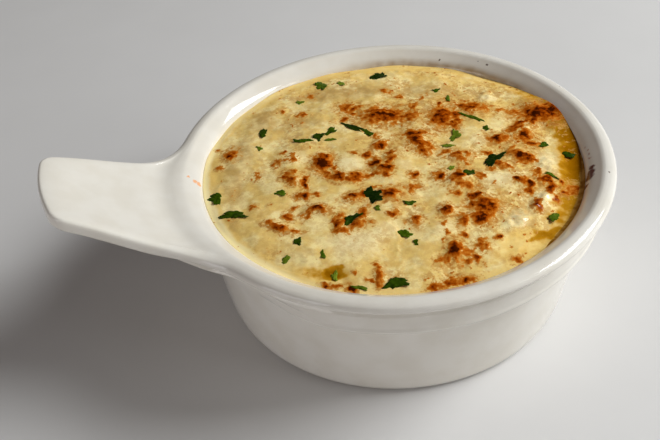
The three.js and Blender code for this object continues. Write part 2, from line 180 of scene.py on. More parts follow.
def new_piece(name, points, faces, attributes=None):
    """A smooth-shaded mesh object at the origin, with float attributes on its points."""
    mesh = bpy.data.meshes.new(name)
    corners = np.concatenate([np.asarray(block).ravel() for block in faces]).astype(np.int32)
    sizes = np.concatenate([np.full(len(block), np.shape(block)[1]) for block in faces])
    mesh.vertices.add(len(points))
    mesh.vertices.foreach_set("co", np.asarray(points, np.float32).ravel())
    mesh.loops.add(len(corners))
    mesh.loops.foreach_set("vertex_index", corners)
    mesh.polygons.add(len(sizes))
    mesh.polygons.foreach_set("loop_start", (np.cumsum(sizes) - sizes).astype(np.int32))
    mesh.update(calc_edges=True)
    mesh.shade_smooth()
    for label, values in (attributes or {}).items():
        layer = mesh.attributes.new(label, "FLOAT", "POINT")
        layer.data.foreach_set("value", np.asarray(values, np.float32).ravel())
    piece = bpy.data.objects.new(name, mesh)
    bpy.context.collection.objects.link(piece)
    print("%-8s %6d points, %6d triangles" % (name, len(points), int((sizes - 2).sum())))
    return piece


def revolved(name, rings, low_pole, high_pole, attributes=None):
    """Closed piece from rings of shape (rows, columns, 3), with a point below and one above."""
    rows, columns = rings.shape[:2]
    points = np.concatenate([rings.reshape(-1, 3), [low_pole, high_pole]])
    ring = np.arange(columns)
    faces = [
        grid_faces(rows, columns),
        fan_faces(ring, rows * columns, upper=False),
        fan_faces(ring + (rows - 1) * columns, rows * columns + 1, upper=True),
    ]
    return new_piece(name, points, faces, attributes)


# %% [markdown]
# ## The dish
#
# Seen from above, the outline is made of arcs: the rim's circle, a hollow curve at each side of
# the handle's neck, straight tapering sides, two small corners and a nearly straight tip. It is
# worked out with the handle along +X, and turned round at the end. Each point keeps its outward
# direction, so that lines can run beside it at any distance.

# %% Outline of the rim and handle
side_normal = np.array([math.sin(SIDE_TAPER), math.cos(SIDE_TAPER)])
side_run = np.array([math.cos(SIDE_TAPER), -math.sin(SIDE_TAPER)])


def centre_beside_side(shift, centre_x, distance):
    """Point `distance` from (centre_x, 0), on the side's line moved out by `shift`, towards the
    tip."""
    foot = side_normal * (SIDE_OFFSET + shift)
    across = foot - np.array([centre_x, 0.0])
    half = across @ side_run
    return foot + side_run * (-half + math.sqrt(half * half - across @ across + distance * distance))


def arc(centre, radius, start, end, count, outward):
    """Points of an arc and their outward directions; outward is -1 on a hollow curve."""
    angles = start + (end - start) * np.arange(count) / count
    rays = np.stack([np.cos(angles), np.sin(angles)], axis=-1)
    return centre + radius * rays, rays * outward


def angle_of(vector):
    """Bearing of a vector from the +X direction."""
    return math.atan2(vector[1], vector[0])


def dish_outline():
    """The whole outline anticlockwise, handle towards -X: points, outward directions, bearings."""
    tip_centre = np.array([HANDLE_REACH - TIP_CROWN_RADIUS, 0.0])
    corner = centre_beside_side(-TIP_CORNER_RADIUS, tip_centre[0], TIP_CROWN_RADIUS - TIP_CORNER_RADIUS)
    neck = centre_beside_side(NECK_RADIUS, 0.0, RIM_RADIUS + NECK_RADIUS)
    tip_turn = angle_of(corner - tip_centre)
    rim_turn = angle_of(neck)
    side_turn = angle_of(side_normal)
    side_start = corner + side_normal * TIP_CORNER_RADIUS
    side_end = neck - side_normal * NECK_RADIUS
    share = np.arange(14)[:, None] / 14
    parts = [
        arc(tip_centre, TIP_CROWN_RADIUS, 0.0, tip_turn, 14, 1),
        arc(corner, TIP_CORNER_RADIUS, tip_turn, side_turn, 12, 1),
        (side_start + (side_end - side_start) * share, np.tile(side_normal, (14, 1))),
        arc(neck, NECK_RADIUS, side_turn - math.pi, rim_turn - math.pi, 26, -1),
        arc(np.zeros(2), RIM_RADIUS, rim_turn, math.pi, 118, 1),
    ]
    half = np.concatenate([points for points, _ in parts])
    ways = np.concatenate([directions for _, directions in parts])
    flip = np.array([1.0, -1.0])
    points = np.concatenate([half, [[-RIM_RADIUS, 0.0]], half[:0:-1] * flip])
    normals = np.concatenate([ways, [[-1.0, 0.0]], ways[:0:-1] * flip])
    return -points, -normals, np.arctan2(-points[:, 1], -points[:, 0])


plan, plan_normals, plan_angles = dish_outline()
print("outline of %d points, %.1f mm long" % (len(plan), np.ptp(plan[:, 0])))

# %% [markdown]
# The rim is level, and the handle's top climbs away from it in one smooth sweep that is still
# rising at the tip. A cubic in the distance along the handle does that: it starts flat and ends
# with a chosen slope. The top is also slightly hollow across, where a thumb would lie.


# %% Top of the rim and handle
def top_at(x):
    """Height and slope of the top: a cubic from level at the bowl to the tip's slope."""
    run = HANDLE_REACH - HANDLE_RISE_START
    t = np.clip((-x - HANDLE_RISE_START) / run, 0, 1.1)
    end_slope = HANDLE_TIP_SLOPE * run / HANDLE_RISE
    height = RIM_TOP + HANDLE_RISE * (t * t * (3 - 2 * t) + end_slope * t * t * (t - 1))
    slope = HANDLE_RISE / run * (6 * t * (1 - t) + end_slope * t * (3 * t - 2))
    return height, slope


def trough_at(x, y):
    """Depth of the hollow along the handle: a parabola across, eased in and out along it."""
    half_width = (SIDE_OFFSET + x * math.sin(SIDE_TAPER)) / math.cos(SIDE_TAPER) - HOLLOW_MARGIN
    across = np.clip(1 - (y / half_width) ** 2, 0, 1)
    return HANDLE_DISHING * across * ease(-x, *HOLLOW_SETS_IN) * (1 - ease(-x, *HOLLOW_RUNS_OUT))


def handle_side(angle):
    """1 along the handle's middle line, falling to 0 where its neck joins the rim."""
    return 1 - ease(np.degrees(math.pi - np.abs(angle)), *NECK_BEARINGS)


def surface_at(x, y, share):
    """Height of the rim's and handle's top, `share` of the way from the crown to the edge. The
    climb is held back by a bell curve in the radius, which leaves a valley round the rim."""
    out = (np.hypot(x, y) - NECK_DIP_RADIUS) / NECK_DIP_REACH
    held = NECK_DIP * np.exp(-out * out) * (1 - share ** 3)
    return RIM_TOP + (top_at(x)[0] - RIM_TOP) * (1 - held) - trough_at(x, y)


def smooth_profile(points, steps):
    """Curve through the points, or rings of points, `steps` per span: cubic spans whose slope at
    a point is the harmonic mean of its neighbours' slopes, and zero at a turning point, so
    nothing overshoots."""
    points = np.asarray(points, float)
    spans = np.linalg.norm(np.diff(points, axis=0), axis=-1, keepdims=True)
    rates = np.diff(points, axis=0) / spans
    before, after = rates[:-1], rates[1:]
    same_way = before * after > 0
    inner = np.where(same_way, 2 * before * after / np.where(same_way, before + after, 1), 0)
    slopes = np.concatenate([rates[:1], inner, rates[-1:]])
    t = (np.arange(steps) / steps).reshape((1, steps) + (1,) * (points.ndim - 1))
    start, end = points[:-1, None], points[1:, None]
    start_slope, end_slope = (slopes[:-1] * spans)[:, None], (slopes[1:] * spans)[:, None]
    curve = (start * (1 + 2 * t) * (1 - t) ** 2 + start_slope * t * (1 - t) ** 2
             + end * t * t * (3 - 2 * t) + end_slope * t * t * (t - 1))
    return np.concatenate([curve.reshape(-1, *points.shape[1:]), points[-1:]])


print("tip of the handle %.1f mm above the rim" % (top_at(np.array(-HANDLE_REACH))[0] - RIM_TOP))

# %% [markdown]
# The potter's profile runs from the foot ring up the body, out over a rounded band with a bead
# along its lower edge, under the lip and over it, then down the inside wall to the floor. On the
# handle the lip becomes a flat edge with a tighter corner. So the dish is one grid: its rows are
# the lines of this profile, and its columns follow the outline.

# %% Profiles, as [radius, height] or [inset, depth]
INNER_WALL = [
    [65.7, 48.75], [64.6, 48.0], [61.7, 45.6], [61.1, 44.6], [60.7, 43.2], [60.2, 40.5],
    [58.9, 35.0], [57.1, 26.0], [55.9, 17.5], [53.8, 11.2], [49.5, 7.7], [43.5, FLOOR_TOP],
]
NECK_WALL = [[67.0, 48.7], [64.6, 47.6]] + INNER_WALL[2:]     # where the handle starts
FOOT_RING = [[FOOT_INNER_RADIUS - 1.2, RECESS_HEIGHT], [FOOT_INNER_RADIUS, 0.0], [55.3, 0.0]]
BODY_WALL = [
    [55.3, 0.0], [56.6, 0.7], [57.8, 3.0], [59.1, 10.0], [60.6, 20.5], [61.9, 29.5],
    [BODY_TOP_RADIUS, BODY_TOP],
]
BAND = [
    [BODY_TOP_RADIUS, BODY_TOP], [BEAD_RADIUS - 1.4, BEAD_HEIGHT - 1.6],
    [BEAD_RADIUS - 0.3, BEAD_HEIGHT - 0.9], [BEAD_RADIUS, BEAD_HEIGHT],
    [BAND_RADIUS, BEAD_HEIGHT + 1.0], [BAND_RADIUS, 38.6],
]
RIM_EDGE = [
    [3.35, 7.6], [3.95, 6.2], [3.9, 4.9], [1.3, LIP_DEPTH + 0.6], [0.3, LIP_DEPTH], [0.03, 2.2],
    [0.4, 1.1], [1.1, 0.5], [1.9, 0.17], [2.9, 0.0],
]
HANDLE_EDGE = [
    [3.2, HANDLE_DEPTH + 0.5], [2.0, HANDLE_DEPTH + 0.4], [1.0, HANDLE_DEPTH + 0.2],
    [0.4, HANDLE_DEPTH - 0.2], [0.05, HANDLE_DEPTH - 1.0], [0.0, 1.8], [0.15, 0.9], [0.5, 0.35],
    [1.0, 0.08], [1.7, 0.0],
]


def circle(radius, height):
    """Ring of points at the outline's bearings; radius and height may vary round it."""
    return np.stack([radius * np.cos(plan_angles), radius * np.sin(plan_angles),
                     height + np.zeros(len(plan_angles))], axis=-1)


def band_ring(radius, height):
    """The band is flush with the body under the handle and stands proud of it elsewhere."""
    off_handle = np.degrees(math.pi - np.abs(plan_angles))
    flush = BODY_TOP_RADIUS + BODY_FLARE * (height - BODY_TOP)
    return circle(flush + (radius - flush) * ease(off_handle, *BAND_BEARINGS), height)


def edge_ring(rim_line, handle_line):
    """A line at an inset inside the outline and a depth under the top, which pass from the rim's
    to the handle's along the neck. It leans out a little where the top climbs."""
    on_handle = ease(-plan[:, :1], *HANDLE_EDGE_SETS_IN)
    inset, depth = (np.array(rim_line) * (1 - on_handle) + np.array(handle_line) * on_handle).T
    x, y = (plan - plan_normals * inset[:, None]).T
    height, slope = top_at(x)
    drop = depth / np.hypot(1, slope)
    return np.stack([x - EDGE_LEAN * slope * drop, y, height - drop], axis=-1)


def dish_rings():
    """All rows of the dish, from the recess under the foot, round the lip, to the floor inside."""
    foot = [circle(r, z) for r, z in FOOT_RING[:-1]] + [circle(r, 0.0) for r in (51.5, 53.5)]
    body = [circle(r, z) for r, z in smooth_profile(BODY_WALL, 6)[:-1]]
    band = [band_ring(r, z) for r, z in smooth_profile(BAND, 4)]
    edge_lines = zip(smooth_profile(RIM_EDGE, 5), smooth_profile(HANDLE_EDGE, 5))
    edge = [edge_ring(*lines) for lines in edge_lines]
    at_handle = handle_side(plan_angles)
    crown = circle(CROWN_RADIUS + (NECK_CROWN_RADIUS - CROWN_RADIUS) * at_handle, RIM_TOP)
    crown[:, 2] = surface_at(crown[:, 0], crown[:, 1], 0)
    under = []
    for share in np.linspace(0, 1, 14)[1:-1]:
        ring = band[-1] + (edge[0] - band[-1]) * share
        ring[:, 2] = band[-1][:, 2] + (edge[0][:, 2] - band[-1][:, 2]) * share ** 1.4
        under.append(ring)
    top = []
    for share in np.linspace(1, 0, 20)[1:-1]:
        ring = crown + (edge[-1] - crown) * share
        ring[:, 2] = surface_at(ring[:, 0], ring[:, 1], share)
        top.append(ring)
    wall = [top[-1], crown]
    for (radius, height), (neck_radius, neck_height) in zip(INNER_WALL, NECK_WALL):
        wall.append(circle(radius + (neck_radius - radius) * at_handle,
                           height + (neck_height - height) * at_handle))
    inside = smooth_profile(np.stack(wall), 5)[5:]
    return np.concatenate([np.stack(foot + body + band + under + edge + top), inside])


FILM_TOP = 46.8             # height that the film reaches on the back wall
FILM_FADE = 1.6             # and how far below it the film begins to fade
FILM_RAGGED = 0.7
FILM_SETS_IN = (8, 26)      # bearings in degrees between which it sets in, and runs out
FILM_RUNS_OUT = (68, 88)
LOW_FILM_SETS_IN = (-75, -40)
LOW_FILM_TOP = (44.0, 44.9)     # heights between which the low film fades


def brown_film(x, y, z):
    """How strongly a baked film stains the inside wall: up to a ragged line on the back, and
    low down just over the broth further round."""
    bearing = np.degrees(np.arctan2(y, x))
    line = FILM_TOP + FILM_RAGGED * noise(bearing, z, 9, 81)
    left = 1 - ease(bearing, *FILM_RUNS_OUT)
    back = ease(bearing, *FILM_SETS_IN) * left * (1 - ease(z, line - FILM_FADE, line))
    foot = 0.9 * ease(bearing, *LOW_FILM_SETS_IN) * left * (1 - ease(z, *LOW_FILM_TOP))
    streaks = 0.72 + 0.5 * noise(bearing, z, 2.2, 83)
    inside_wall = (np.hypot(x, y) < CROWN_RADIUS - 1.5) & (z > SOUP_LEVEL - 2)
    return np.maximum(back, foot) * streaks * inside_wall


rings = dish_rings()
stained = brown_film(*np.moveaxis(rings, -1, 0)).ravel()
dish = revolved("dish", in_frame(*np.moveaxis(rings, -1, 0)),
                in_frame(0, 0, RECESS_HEIGHT), in_frame(0, 0, FLOOR_TOP),
                {"film": np.concatenate([stained, [0, 0]])})

# %% [markdown]
# ## The soup
#
# Only a narrow ring of broth shows, where the cheese has drawn back from the wall. The soup is a
# surface of revolution: it follows the inside of the dish, and at the wall its top curls up a
# little, as any liquid does that wets the glaze.


# %% Soup
wall_curve = smooth_profile(INNER_WALL, 8)


def wall_radius(height):
    """Inside radius of the dish at a height, read off its profile."""
    radii, heights = wall_curve.T
    return np.interp(height, heights[::-1], radii[::-1])


SOUP_COLUMNS = 256
WALL_ROWS = 24
MENISCUS = 0.8              # height the broth climbs the wall
MENISCUS_REACH = 0.45       # distance from the wall over which it falls to about a third
SURFACE_ROWS = (0.15, 0.4, 0.8, 1.4, 2.2, 3.5, 6.0, 12.0, 30.0)     # distances from the wall
WETTING = 0.08              # how far food that clings to the glaze reaches into it
soup_turn = 2 * np.pi * np.arange(SOUP_COLUMNS) / SOUP_COLUMNS
depths = np.linspace(FLOOR_TOP + FIT_GAP, SOUP_LEVEL, WALL_ROWS)
soup_profile = [(wall_radius(z) - FIT_GAP, z) for z in depths[:-1]]
soup_profile += [(wall_radius(SOUP_LEVEL + MENISCUS) + WETTING, SOUP_LEVEL + MENISCUS)]
for inward in SURFACE_ROWS:
    climb = MENISCUS * math.exp(-inward / MENISCUS_REACH)
    soup_profile.append((wall_radius(SOUP_LEVEL) - inward, SOUP_LEVEL + climb))
soup_radii, soup_heights = np.array(soup_profile).T
soup = revolved(
    "soup_broth",
    in_frame(soup_radii[:, None] * np.cos(soup_turn), soup_radii[:, None] * np.sin(soup_turn),
             np.repeat(soup_heights[:, None], SOUP_COLUMNS, axis=1)),
    in_frame(0, 0, FLOOR_TOP + FIT_GAP), in_frame(0, 0, SOUP_LEVEL),
)

# %% [markdown]
# ## The cheese
#
# The melted layer is a low dome with swells and crags, the same ones as in the solid and with
# the same numbers, so that the fine surface stays on it.

# %% Form of the cheese, as in the solid
CHEESE_RADIUS = 59.9
CHEESE_EDGE = 0.8           # thickness of the melted layer at its edge
CHEESE_DOME = 2.3           # rise of its middle over its edge
CRUST_CLIMB = 1.6           # how far the crust climbs the wall away from the handle
CLIMB_AT = 0.12             # bearing where it climbs furthest, in radians, and its spread
CLIMB_SPREAD = 0.28
DRAWN_BACK = 2.6            # how far the edge has drawn back from the wall, and where
DRAWN_BACK_AT = -0.75
DRAWN_BACK_SPREAD = 0.5
EDGE_RISE = (0.86, 0.97)    # shares of the radius between which the climbing crust rises
SWELL_FADE = (0.86, 1)      # and between which swells and crags fade
CHEESE_BASE = SOUP_LEVEL + FIT_GAP
CRAGS = [                   # x, y, length, width, turn in degrees, height
    (-21, 7.5, 8, 6, 75, 0.9), (-17, -3.5, 12, 5, -25, 0.8), (-5, -3, 8, 6, 80, 0.8),
    (0, 0, 7, 5, 45, 0.5), (-0.5, 9.5, 8, 5, 45, 0.7), (11.5, 5, 14, 6, -85, 0.8),
    (6.5, 24, 15, 8, -25, 0.9), (24.5, 16, 11, 8, 60, 0.8), (34, 17, 13, 6, -30, 0.7),
    (54.5, 5, 10, 7, 60, 0.8), (45, -2.5, 12, 6, 25, 0.8), (36, -3.5, 7, 5, 5, 0.7),
    (39, -14, 9, 5, -55, 0.9), (30, -16.5, 8, 4, -45, 0.7), (19.5, -8, 10, 6, -35, 0.6),
    (15.5, -18.5, 8, 6, 0, 0.8), (17, -32, 12, 8, 60, 1.1), (13.5, -38, 7, 5, -20, 0.8),
    (5.5, -31, 5, 5, 60, 0.9), (-4.5, -31, 4.5, 4.5, 0, 0.7), (8.5, -37, 7, 4, 55, 0.7),
    (1, -48, 8, 6, 65, 1.1), (9.5, -49, 7, 5, -25, 0.6), (33.5, -27, 9, 6, -25, 0.9),
    (40, -28, 8, 7, 60, 0.9), (32, -38, 6, 4, 75, 0.7), (-17, -14, 8, 5, 30, 0.7),
    (-7, -17.5, 6, 5, -30, 0.8), (-26, -25, 8, 5, 75, 0.7), (-20.5, -25.5, 8, 4, 40, 0.7),
    (-30, -15, 9, 5, -30, 0.7), (-43, -17.5, 11, 5, -45, 0.9), (-31.5, -7, 7, 4, -25, 0.6),
    (-32, 1.5, 8, 5, -85, 0.7), (-31, 12.5, 9, 6, -30, 0.5), (-23, -48.5, 6, 4, 70, 0.6),
]


def drawn_back(angle):
    """1 where the edge has drawn back furthest from the wall, falling to 0 on either side."""
    return np.exp(-((angle - DRAWN_BACK_AT) / DRAWN_BACK_SPREAD) ** 2)


def cheese_radius(angle):
    """Radius of the solid's edge."""
    wander = 0.25 * np.sin(5 * angle + 0.6) + 0.2 * np.sin(11 * angle + 2)
    return CHEESE_RADIUS + wander - DRAWN_BACK * drawn_back(angle)


def own_axes(x, y, centre_x, centre_y, turn):
    """Distances from a mark's centre, along its length and across it."""
    bearing = math.radians(turn)
    along = (x - centre_x) * math.cos(bearing) + (y - centre_y) * math.sin(bearing)
    across = (y - centre_y) * math.cos(bearing) - (x - centre_x) * math.sin(bearing)
    return along, across


def crust_climb(angle):
    """How far the edge climbs the wall."""
    return CRUST_CLIMB * np.exp(-((angle - CLIMB_AT) / CLIMB_SPREAD) ** 2)


def crag_height(x, y):
    """Sum of the crags, each a bell with an oval foot."""
    crags = 0
    for crag_x, crag_y, length, width, turn, height in CRAGS:
        along, across = own_axes(x, y, crag_x, crag_y, turn)
        along, across = along / length, across / width
        crags = crags + height * np.exp(-5 * (along * along + across * across))
    return crags


def layer_height(x, y, climb, crags):
    """Height of a top over the solid's base: a dome, and swells and crags that fade at the edge."""
    angle = np.arctan2(y, x)
    out = np.minimum(np.hypot(x, y) / cheese_radius(angle), 1)
    dome = CHEESE_EDGE + climb * ease(out, *EDGE_RISE) + CHEESE_DOME * (1 - out ** 3)
    swell = 0.28 * np.sin(0.17 * x + 1) * np.cos(0.15 * y - 0.4) + 0.2 * np.sin(0.29 * x - 0.21 * y)
    return dome + (swell + crags) * (1 - ease(out, *SWELL_FADE))


def solid_height(x, y):
    """Height of the solid's own top over its base."""
    return layer_height(x, y, crust_climb(np.arctan2(y, x)), crag_height(x, y))


print("cheese rises to %.1f mm" % (CHEESE_BASE + solid_height(np.array(17.0), np.array(-32.0))))

# %% [markdown]
# Browned spots and marks on the glaze are placed where the camera sees them. Each is noted
# in its view, in pixels: a mark as a point, a spot as an ellipse. A ray through a pixel meets the
# dish or the cheese at a point, and the rays beside it show how the view is squeezed there, which
# turns an ellipse in the view into one on the cheese.

# %% From the camera's view to the dish
CAMERA_AT = Vector((-0.06952, -0.23794, 0.23192))
LOOKS_ALONG = Vector((0.20614, 0.74295, -0.63682))
CAMERA_RIGHT = Vector((0.94595, -0.31783, -0.06459))
CAMERA_UP = CAMERA_RIGHT.cross(LOOKS_ALONG)
LENS = 53.24                # focal length and sensor width
SENSOR = 36
VIEW_ACROSS, VIEW_DOWN = 660, 440       # the view in pixels
USUAL_CRAG = 0.22           # height of the crags over most of the cheese
SPOT_REACH = 59.2           # no spot's centre lies further out
SHORTEST, NARROWEST = 1.5, 1.2          # and none is smaller
SETTLING_STEPS = 12
HALVINGS = 16
eye = (np.array(CAMERA_AT) - in_frame(0, 0, 0)) / MM
focal_pixels = LENS / SENSOR * VIEW_ACROSS


def on_plane(across, down, height):
    """Point of a level plane that a pixel shows: the eye plus a multiple of the pixel's ray."""
    ray = (np.array(LOOKS_ALONG) + (across - VIEW_ACROSS / 2) / focal_pixels * np.array(CAMERA_RIGHT)
           - (down - VIEW_DOWN / 2) / focal_pixels * np.array(CAMERA_UP))
    return eye + ray * (height - eye[2]) / ray[2]


def on_glaze(across, down):
    """Point of the lip's crown, or of the wall inside it, that a pixel shows. The height at which
    its ray comes to the wall is found by halving the span that holds it."""
    low, high = CHEESE_BASE, RIM_TOP
    for _ in range(HALVINGS):
        middle = (low + high) / 2
        inside = np.hypot(*on_plane(across, down, middle)[:2]) < wall_radius(middle)
        low, high = (low, middle) if inside else (middle, high)
    return on_plane(across, down, high)


def on_cheese(across, down):
    """Point of the cheese that a pixel shows: a plane moved to the height found on it, until it
    stays."""
    point = on_plane(across, down, CHEESE_BASE)
    for _ in range(SETTLING_STEPS):
        point = on_plane(across, down, CHEESE_BASE + layer_height(*point[:2], 0, USUAL_CRAG))
    return point


def spot_on_cheese(across, down, length, width, turn, strength):
    """A spot of the view as a patch of the cheese. The view's squeeze is a matrix, and the
    singular values of its product with the ellipse are the patch's length and width. All is
    rounded to half a millimetre and 5 degrees, as closely as a spot can be noted."""
    point = on_cheese(across, down)
    beside = [on_plane(across + step, down, point[2]) for step in (-0.5, 0.5)]
    below = [on_plane(across, down + step, point[2]) for step in (-0.5, 0.5)]
    squeeze = np.stack([beside[1] - beside[0], below[1] - below[0]], axis=1)[:2]
    bearing = math.radians(turn)
    ellipse = np.array([[math.cos(bearing) * length, math.sin(bearing) * width],
                        [-math.sin(bearing) * length, math.cos(bearing) * width]])
    ways, sizes, _ = np.linalg.svd(squeeze @ ellipse)
    tilt = (math.degrees(angle_of(ways[:, 0])) + 90) % 180 - 90
    x, y = point[:2] * min(1, SPOT_REACH / np.hypot(*point[:2]))
    lengths = np.round(2 * np.array([x, y, max(sizes[0], SHORTEST), max(sizes[1], NARROWEST)])) / 2
    return (*lengths, 5 * round(tilt / 5), strength)


print("middle of the view shows", np.round(on_cheese(VIEW_ACROSS / 2, VIEW_DOWN / 2), 1))

# %% [markdown]
# The colours of the cheese are worked out from fields rather than drawn. They follow from where it
# browned, where fat or broth lies on it and where it is thin, and the thin field also carries a
# painted shade over the back and far left. Each of those is a field over the plan: a list of soft
# patches whose outlines are broken up by noise.

# %% Spots browned by the heat
SPOTS_IN_VIEW = [           # pixels across and down, length, width, turn upwards in degrees, strength
    (385, 91, 11, 5, 0, 0.5), (399.5, 96.5, 7, 5, 0, 0.5), (399.5, 105, 7, 4, 0, 0.5),
    (311.5, 96, 11, 6, 0, 0.35), (349, 107.5, 18, 9, 0, 0.7), (353, 114, 6, 4, 0, 0.6),
    (345.5, 119.5, 9, 5, 0, 0.6), (334, 121.5, 8, 5, 0, 0.35), (383, 116, 44, 15, 0, 0.75),
    (386, 115.5, 32, 6, 0, 1), (420, 97.5, 5, 5, 0, 0.6), (426.5, 92, 5, 4, 0, 0.35),
    (438.5, 103.5, 9, 5, 90, 0.8), (440.5, 116.5, 19, 17, 0, 0.85), (468.5, 106.5, 33, 10, -5, 0.7),
    (455, 119, 18, 10, 90, 0.7), (413, 107, 10, 10, 0, 0.4), (408.5, 116.5, 17, 9, 0, 0.6),
    (414, 133.5, 22, 7, 5, 0.85), (417, 142, 24, 10, -15, 0.85), (425, 149, 15, 9, 0, 0.65),
    (500.5, 110, 9, 4, 0, 0.5), (514, 111, 12, 6, 0, 0.6), (541.5, 115, 43, 14, 0, 0.85),
    (534, 117, 14, 8, 90, 1), (553.5, 113, 17, 14, 0, 0.95), (519.5, 124.5, 25, 6, 32, 0.85),
    (524, 135.5, 16, 9, 0, 0.75), (531, 142.5, 15, 6, 0, 0.8), (498, 139, 18, 8, 10, 0.9),
    (512.5, 147.5, 7, 8, 0, 0.55), (523, 156.5, 23, 9, -12, 0.95), (502, 164, 18, 6, -15, 0.7),
    (493, 169, 8, 4, 0, 0.6), (487.5, 152, 9, 5, 0, 0.5), (445, 153, 14, 6, 0, 0.5),
    (454, 153.5, 13, 7, 0, 0.65), (459, 159, 16, 5, -10, 0.6), (465, 162.5, 8, 5, -60, 0.6),
    (467, 154.5, 8, 6, 0, 0.6), (415, 175, 9, 6, 0, 0.75), (440, 175.5, 11, 8, 0, 0.85),
    (458, 175, 15, 10, 30, 0.85), (454.5, 180.5, 8, 5, 0, 0.7), (463, 184, 28, 8, -5, 0.6),
    (480.5, 176, 12, 5, -15, 0.7), (457, 191.5, 11, 5, 0, 0.55), (494, 183.5, 7, 5, 0, 0.45),
    (413, 186, 18, 5, 0, 0.6), (412.5, 190, 6, 5, 0, 0.7), (476, 197, 13, 8, 20, 1),
    (483, 205, 26, 12, 0, 0.85), (491, 208, 10, 13, 0, 1), (481, 218, 20, 9, 0, 0.95),
    (446, 210, 12, 8.5, 0, 0.9), (415, 219.5, 10, 7, 0, 0.7), (464, 220, 13, 9, 60, 0.75),
    (444.5, 223, 5, 5, 0, 0.55), (446.5, 232.5, 6, 5, 0, 0.6), (445, 239.5, 4.5, 4, 0, 0.5),
    (465, 234, 12, 4.5, -35, 0.55), (498, 236.5, 6.5, 5, 0, 0.65), (483, 240.5, 8, 4.5, -20, 0.6),
    (482, 247, 18, 8, 0, 0.45), (455, 251, 13, 15, 0, 1), (460, 248, 9, 6, 0, 0.85),
    (444, 259, 13, 7, 10, 0.6), (466, 253, 12, 5, 0, 0.55), (476, 257.5, 12, 6, -30, 0.85),
    (468, 261.5, 10, 5, 0, 0.5), (455, 283, 32, 9, 12, 0.65), (434, 287, 13, 8, 20, 0.65),
    (469.5, 280.5, 10, 6, 25, 0.75), (519, 259.5, 9, 6, 0, 0.65), (538, 206, 12, 8, -55, 0.8),
    (538, 173.5, 9, 12, 0, 0.7), (520, 179.5, 18, 7, 0, 0.85), (531, 185, 9, 7, 0, 1),
    (528, 189, 13, 6, 10, 0.65), (546, 180, 12, 10, 0, 0.9), (552, 189, 10, 9, 0, 0.9),
    (556, 197, 6, 6, 0, 0.7), (561.5, 181, 5, 5, 0, 0.8), (567.5, 191, 6, 5, 0, 0.8),
    (573, 186, 15, 8, 0, 0.55), (323, 164, 17, 13, 0, 1), (323, 157.5, 16, 6, 0, 0.8),
    (334, 168, 7, 5, -45, 0.65), (327, 174, 13, 7, -35, 0.65), (338, 176.5, 13, 9, 0, 0.85),
    (348, 180.5, 10, 5, 0, 0.65), (356.5, 177, 12, 9, 0, 0.85), (372, 174.5, 24, 5, 10, 0.65),
    (375, 163.5, 11, 8, 0, 0.95), (386, 168.5, 12, 6, 0, 0.95), (386, 173.5, 9, 7, 0, 0.7),
    (391, 154, 14, 8, 10, 0.55), (390, 161, 6.5, 7, 0, 0.7), (376, 136, 8, 8, 0, 0.5),
    (380, 145, 15, 7, 15, 0.85), (366, 154.5, 9, 4.5, 0, 0.8), (354, 152.5, 7, 3, 0, 0.55),
    (353, 197, 16, 6, 12, 0.85), (362, 194, 9, 8, 45, 0.65), (391, 193.5, 17, 9, 0, 0.85),
    (377, 186.5, 13, 3, 0, 0.5), (304, 183, 13, 6, 90, 0.75), (289.5, 178, 12, 9, -30, 0.8),
    (293.5, 170.5, 7, 3.5, 0, 0.6), (303, 196, 14, 6, 0, 0.75), (316, 195, 8, 4, 0, 0.6),
    (275.5, 164, 8, 9, 0, 0.4), (290, 160, 20, 3.5, 0, 0.45), (293, 156, 15, 8, 0, 0.3),
    (256, 176, 9, 9.5, 0, 0.3), (253.5, 206.5, 7, 4.5, 0, 0.5), (269, 204, 6, 3.5, 0, 0.35),
    (293, 208.5, 7, 3, 0, 0.6), (289, 217.5, 9, 7.5, 0, 0.8), (268, 224.5, 10, 7, 0, 0.55),
    (279, 227.5, 16, 6, -20, 0.85), (294, 232, 18, 4, 0, 0.5), (319, 208.5, 18, 6, -8, 0.8),
    (307, 213.5, 11, 7, 40, 0.6), (338, 226, 13, 8, 90, 0.8), (342, 218, 9, 6, 30, 0.6),
    (343, 231, 13, 6, 0, 0.65), (357, 224.5, 15, 8, 15, 0.85), (363, 213.5, 13, 7, 60, 0.65),
    (371, 223, 7.5, 5.5, 0, 0.65), (390, 214.5, 7, 5, 0, 0.75), (396, 211, 8, 5, 0, 0.55),
    (378, 264, 5, 3, 0, 0.75), (378.5, 267, 9, 5, 0, 0.5), (378, 277.5, 12, 9, 90, 0.7),
    (370, 279.5, 6, 3.5, 0, 0.6), (355, 273, 6, 5, 0, 0.6), (324, 287.5, 8, 3, -5, 0.75),
    (348, 290, 9, 5, 0, 1), (336, 288, 16, 3, -6, 0.6), (283, 112, 5, 5, 0, 0.6),
    (300.5, 115, 9, 6, 0, 0.55), (301, 124, 4, 4, 0, 0.5), (231, 155, 13, 9, 20, 0.8),
    (220, 169, 9, 3.5, 0, 0.5), (220, 151, 5, 2.5, 0, 0.5), (282.5, 152.5, 4.5, 2.5, 0, 0.7),
]
BROWNED = [spot_on_cheese(*spot) for spot in SPOTS_IN_VIEW]
print("%d browned spots" % len(BROWNED))

# %% [markdown]
# Pools, films and mounds are larger and softer. They are given on the cheese itself, each as x, y,
# length, width, turn in degrees and strength, in millimetres from the bowl's axis.

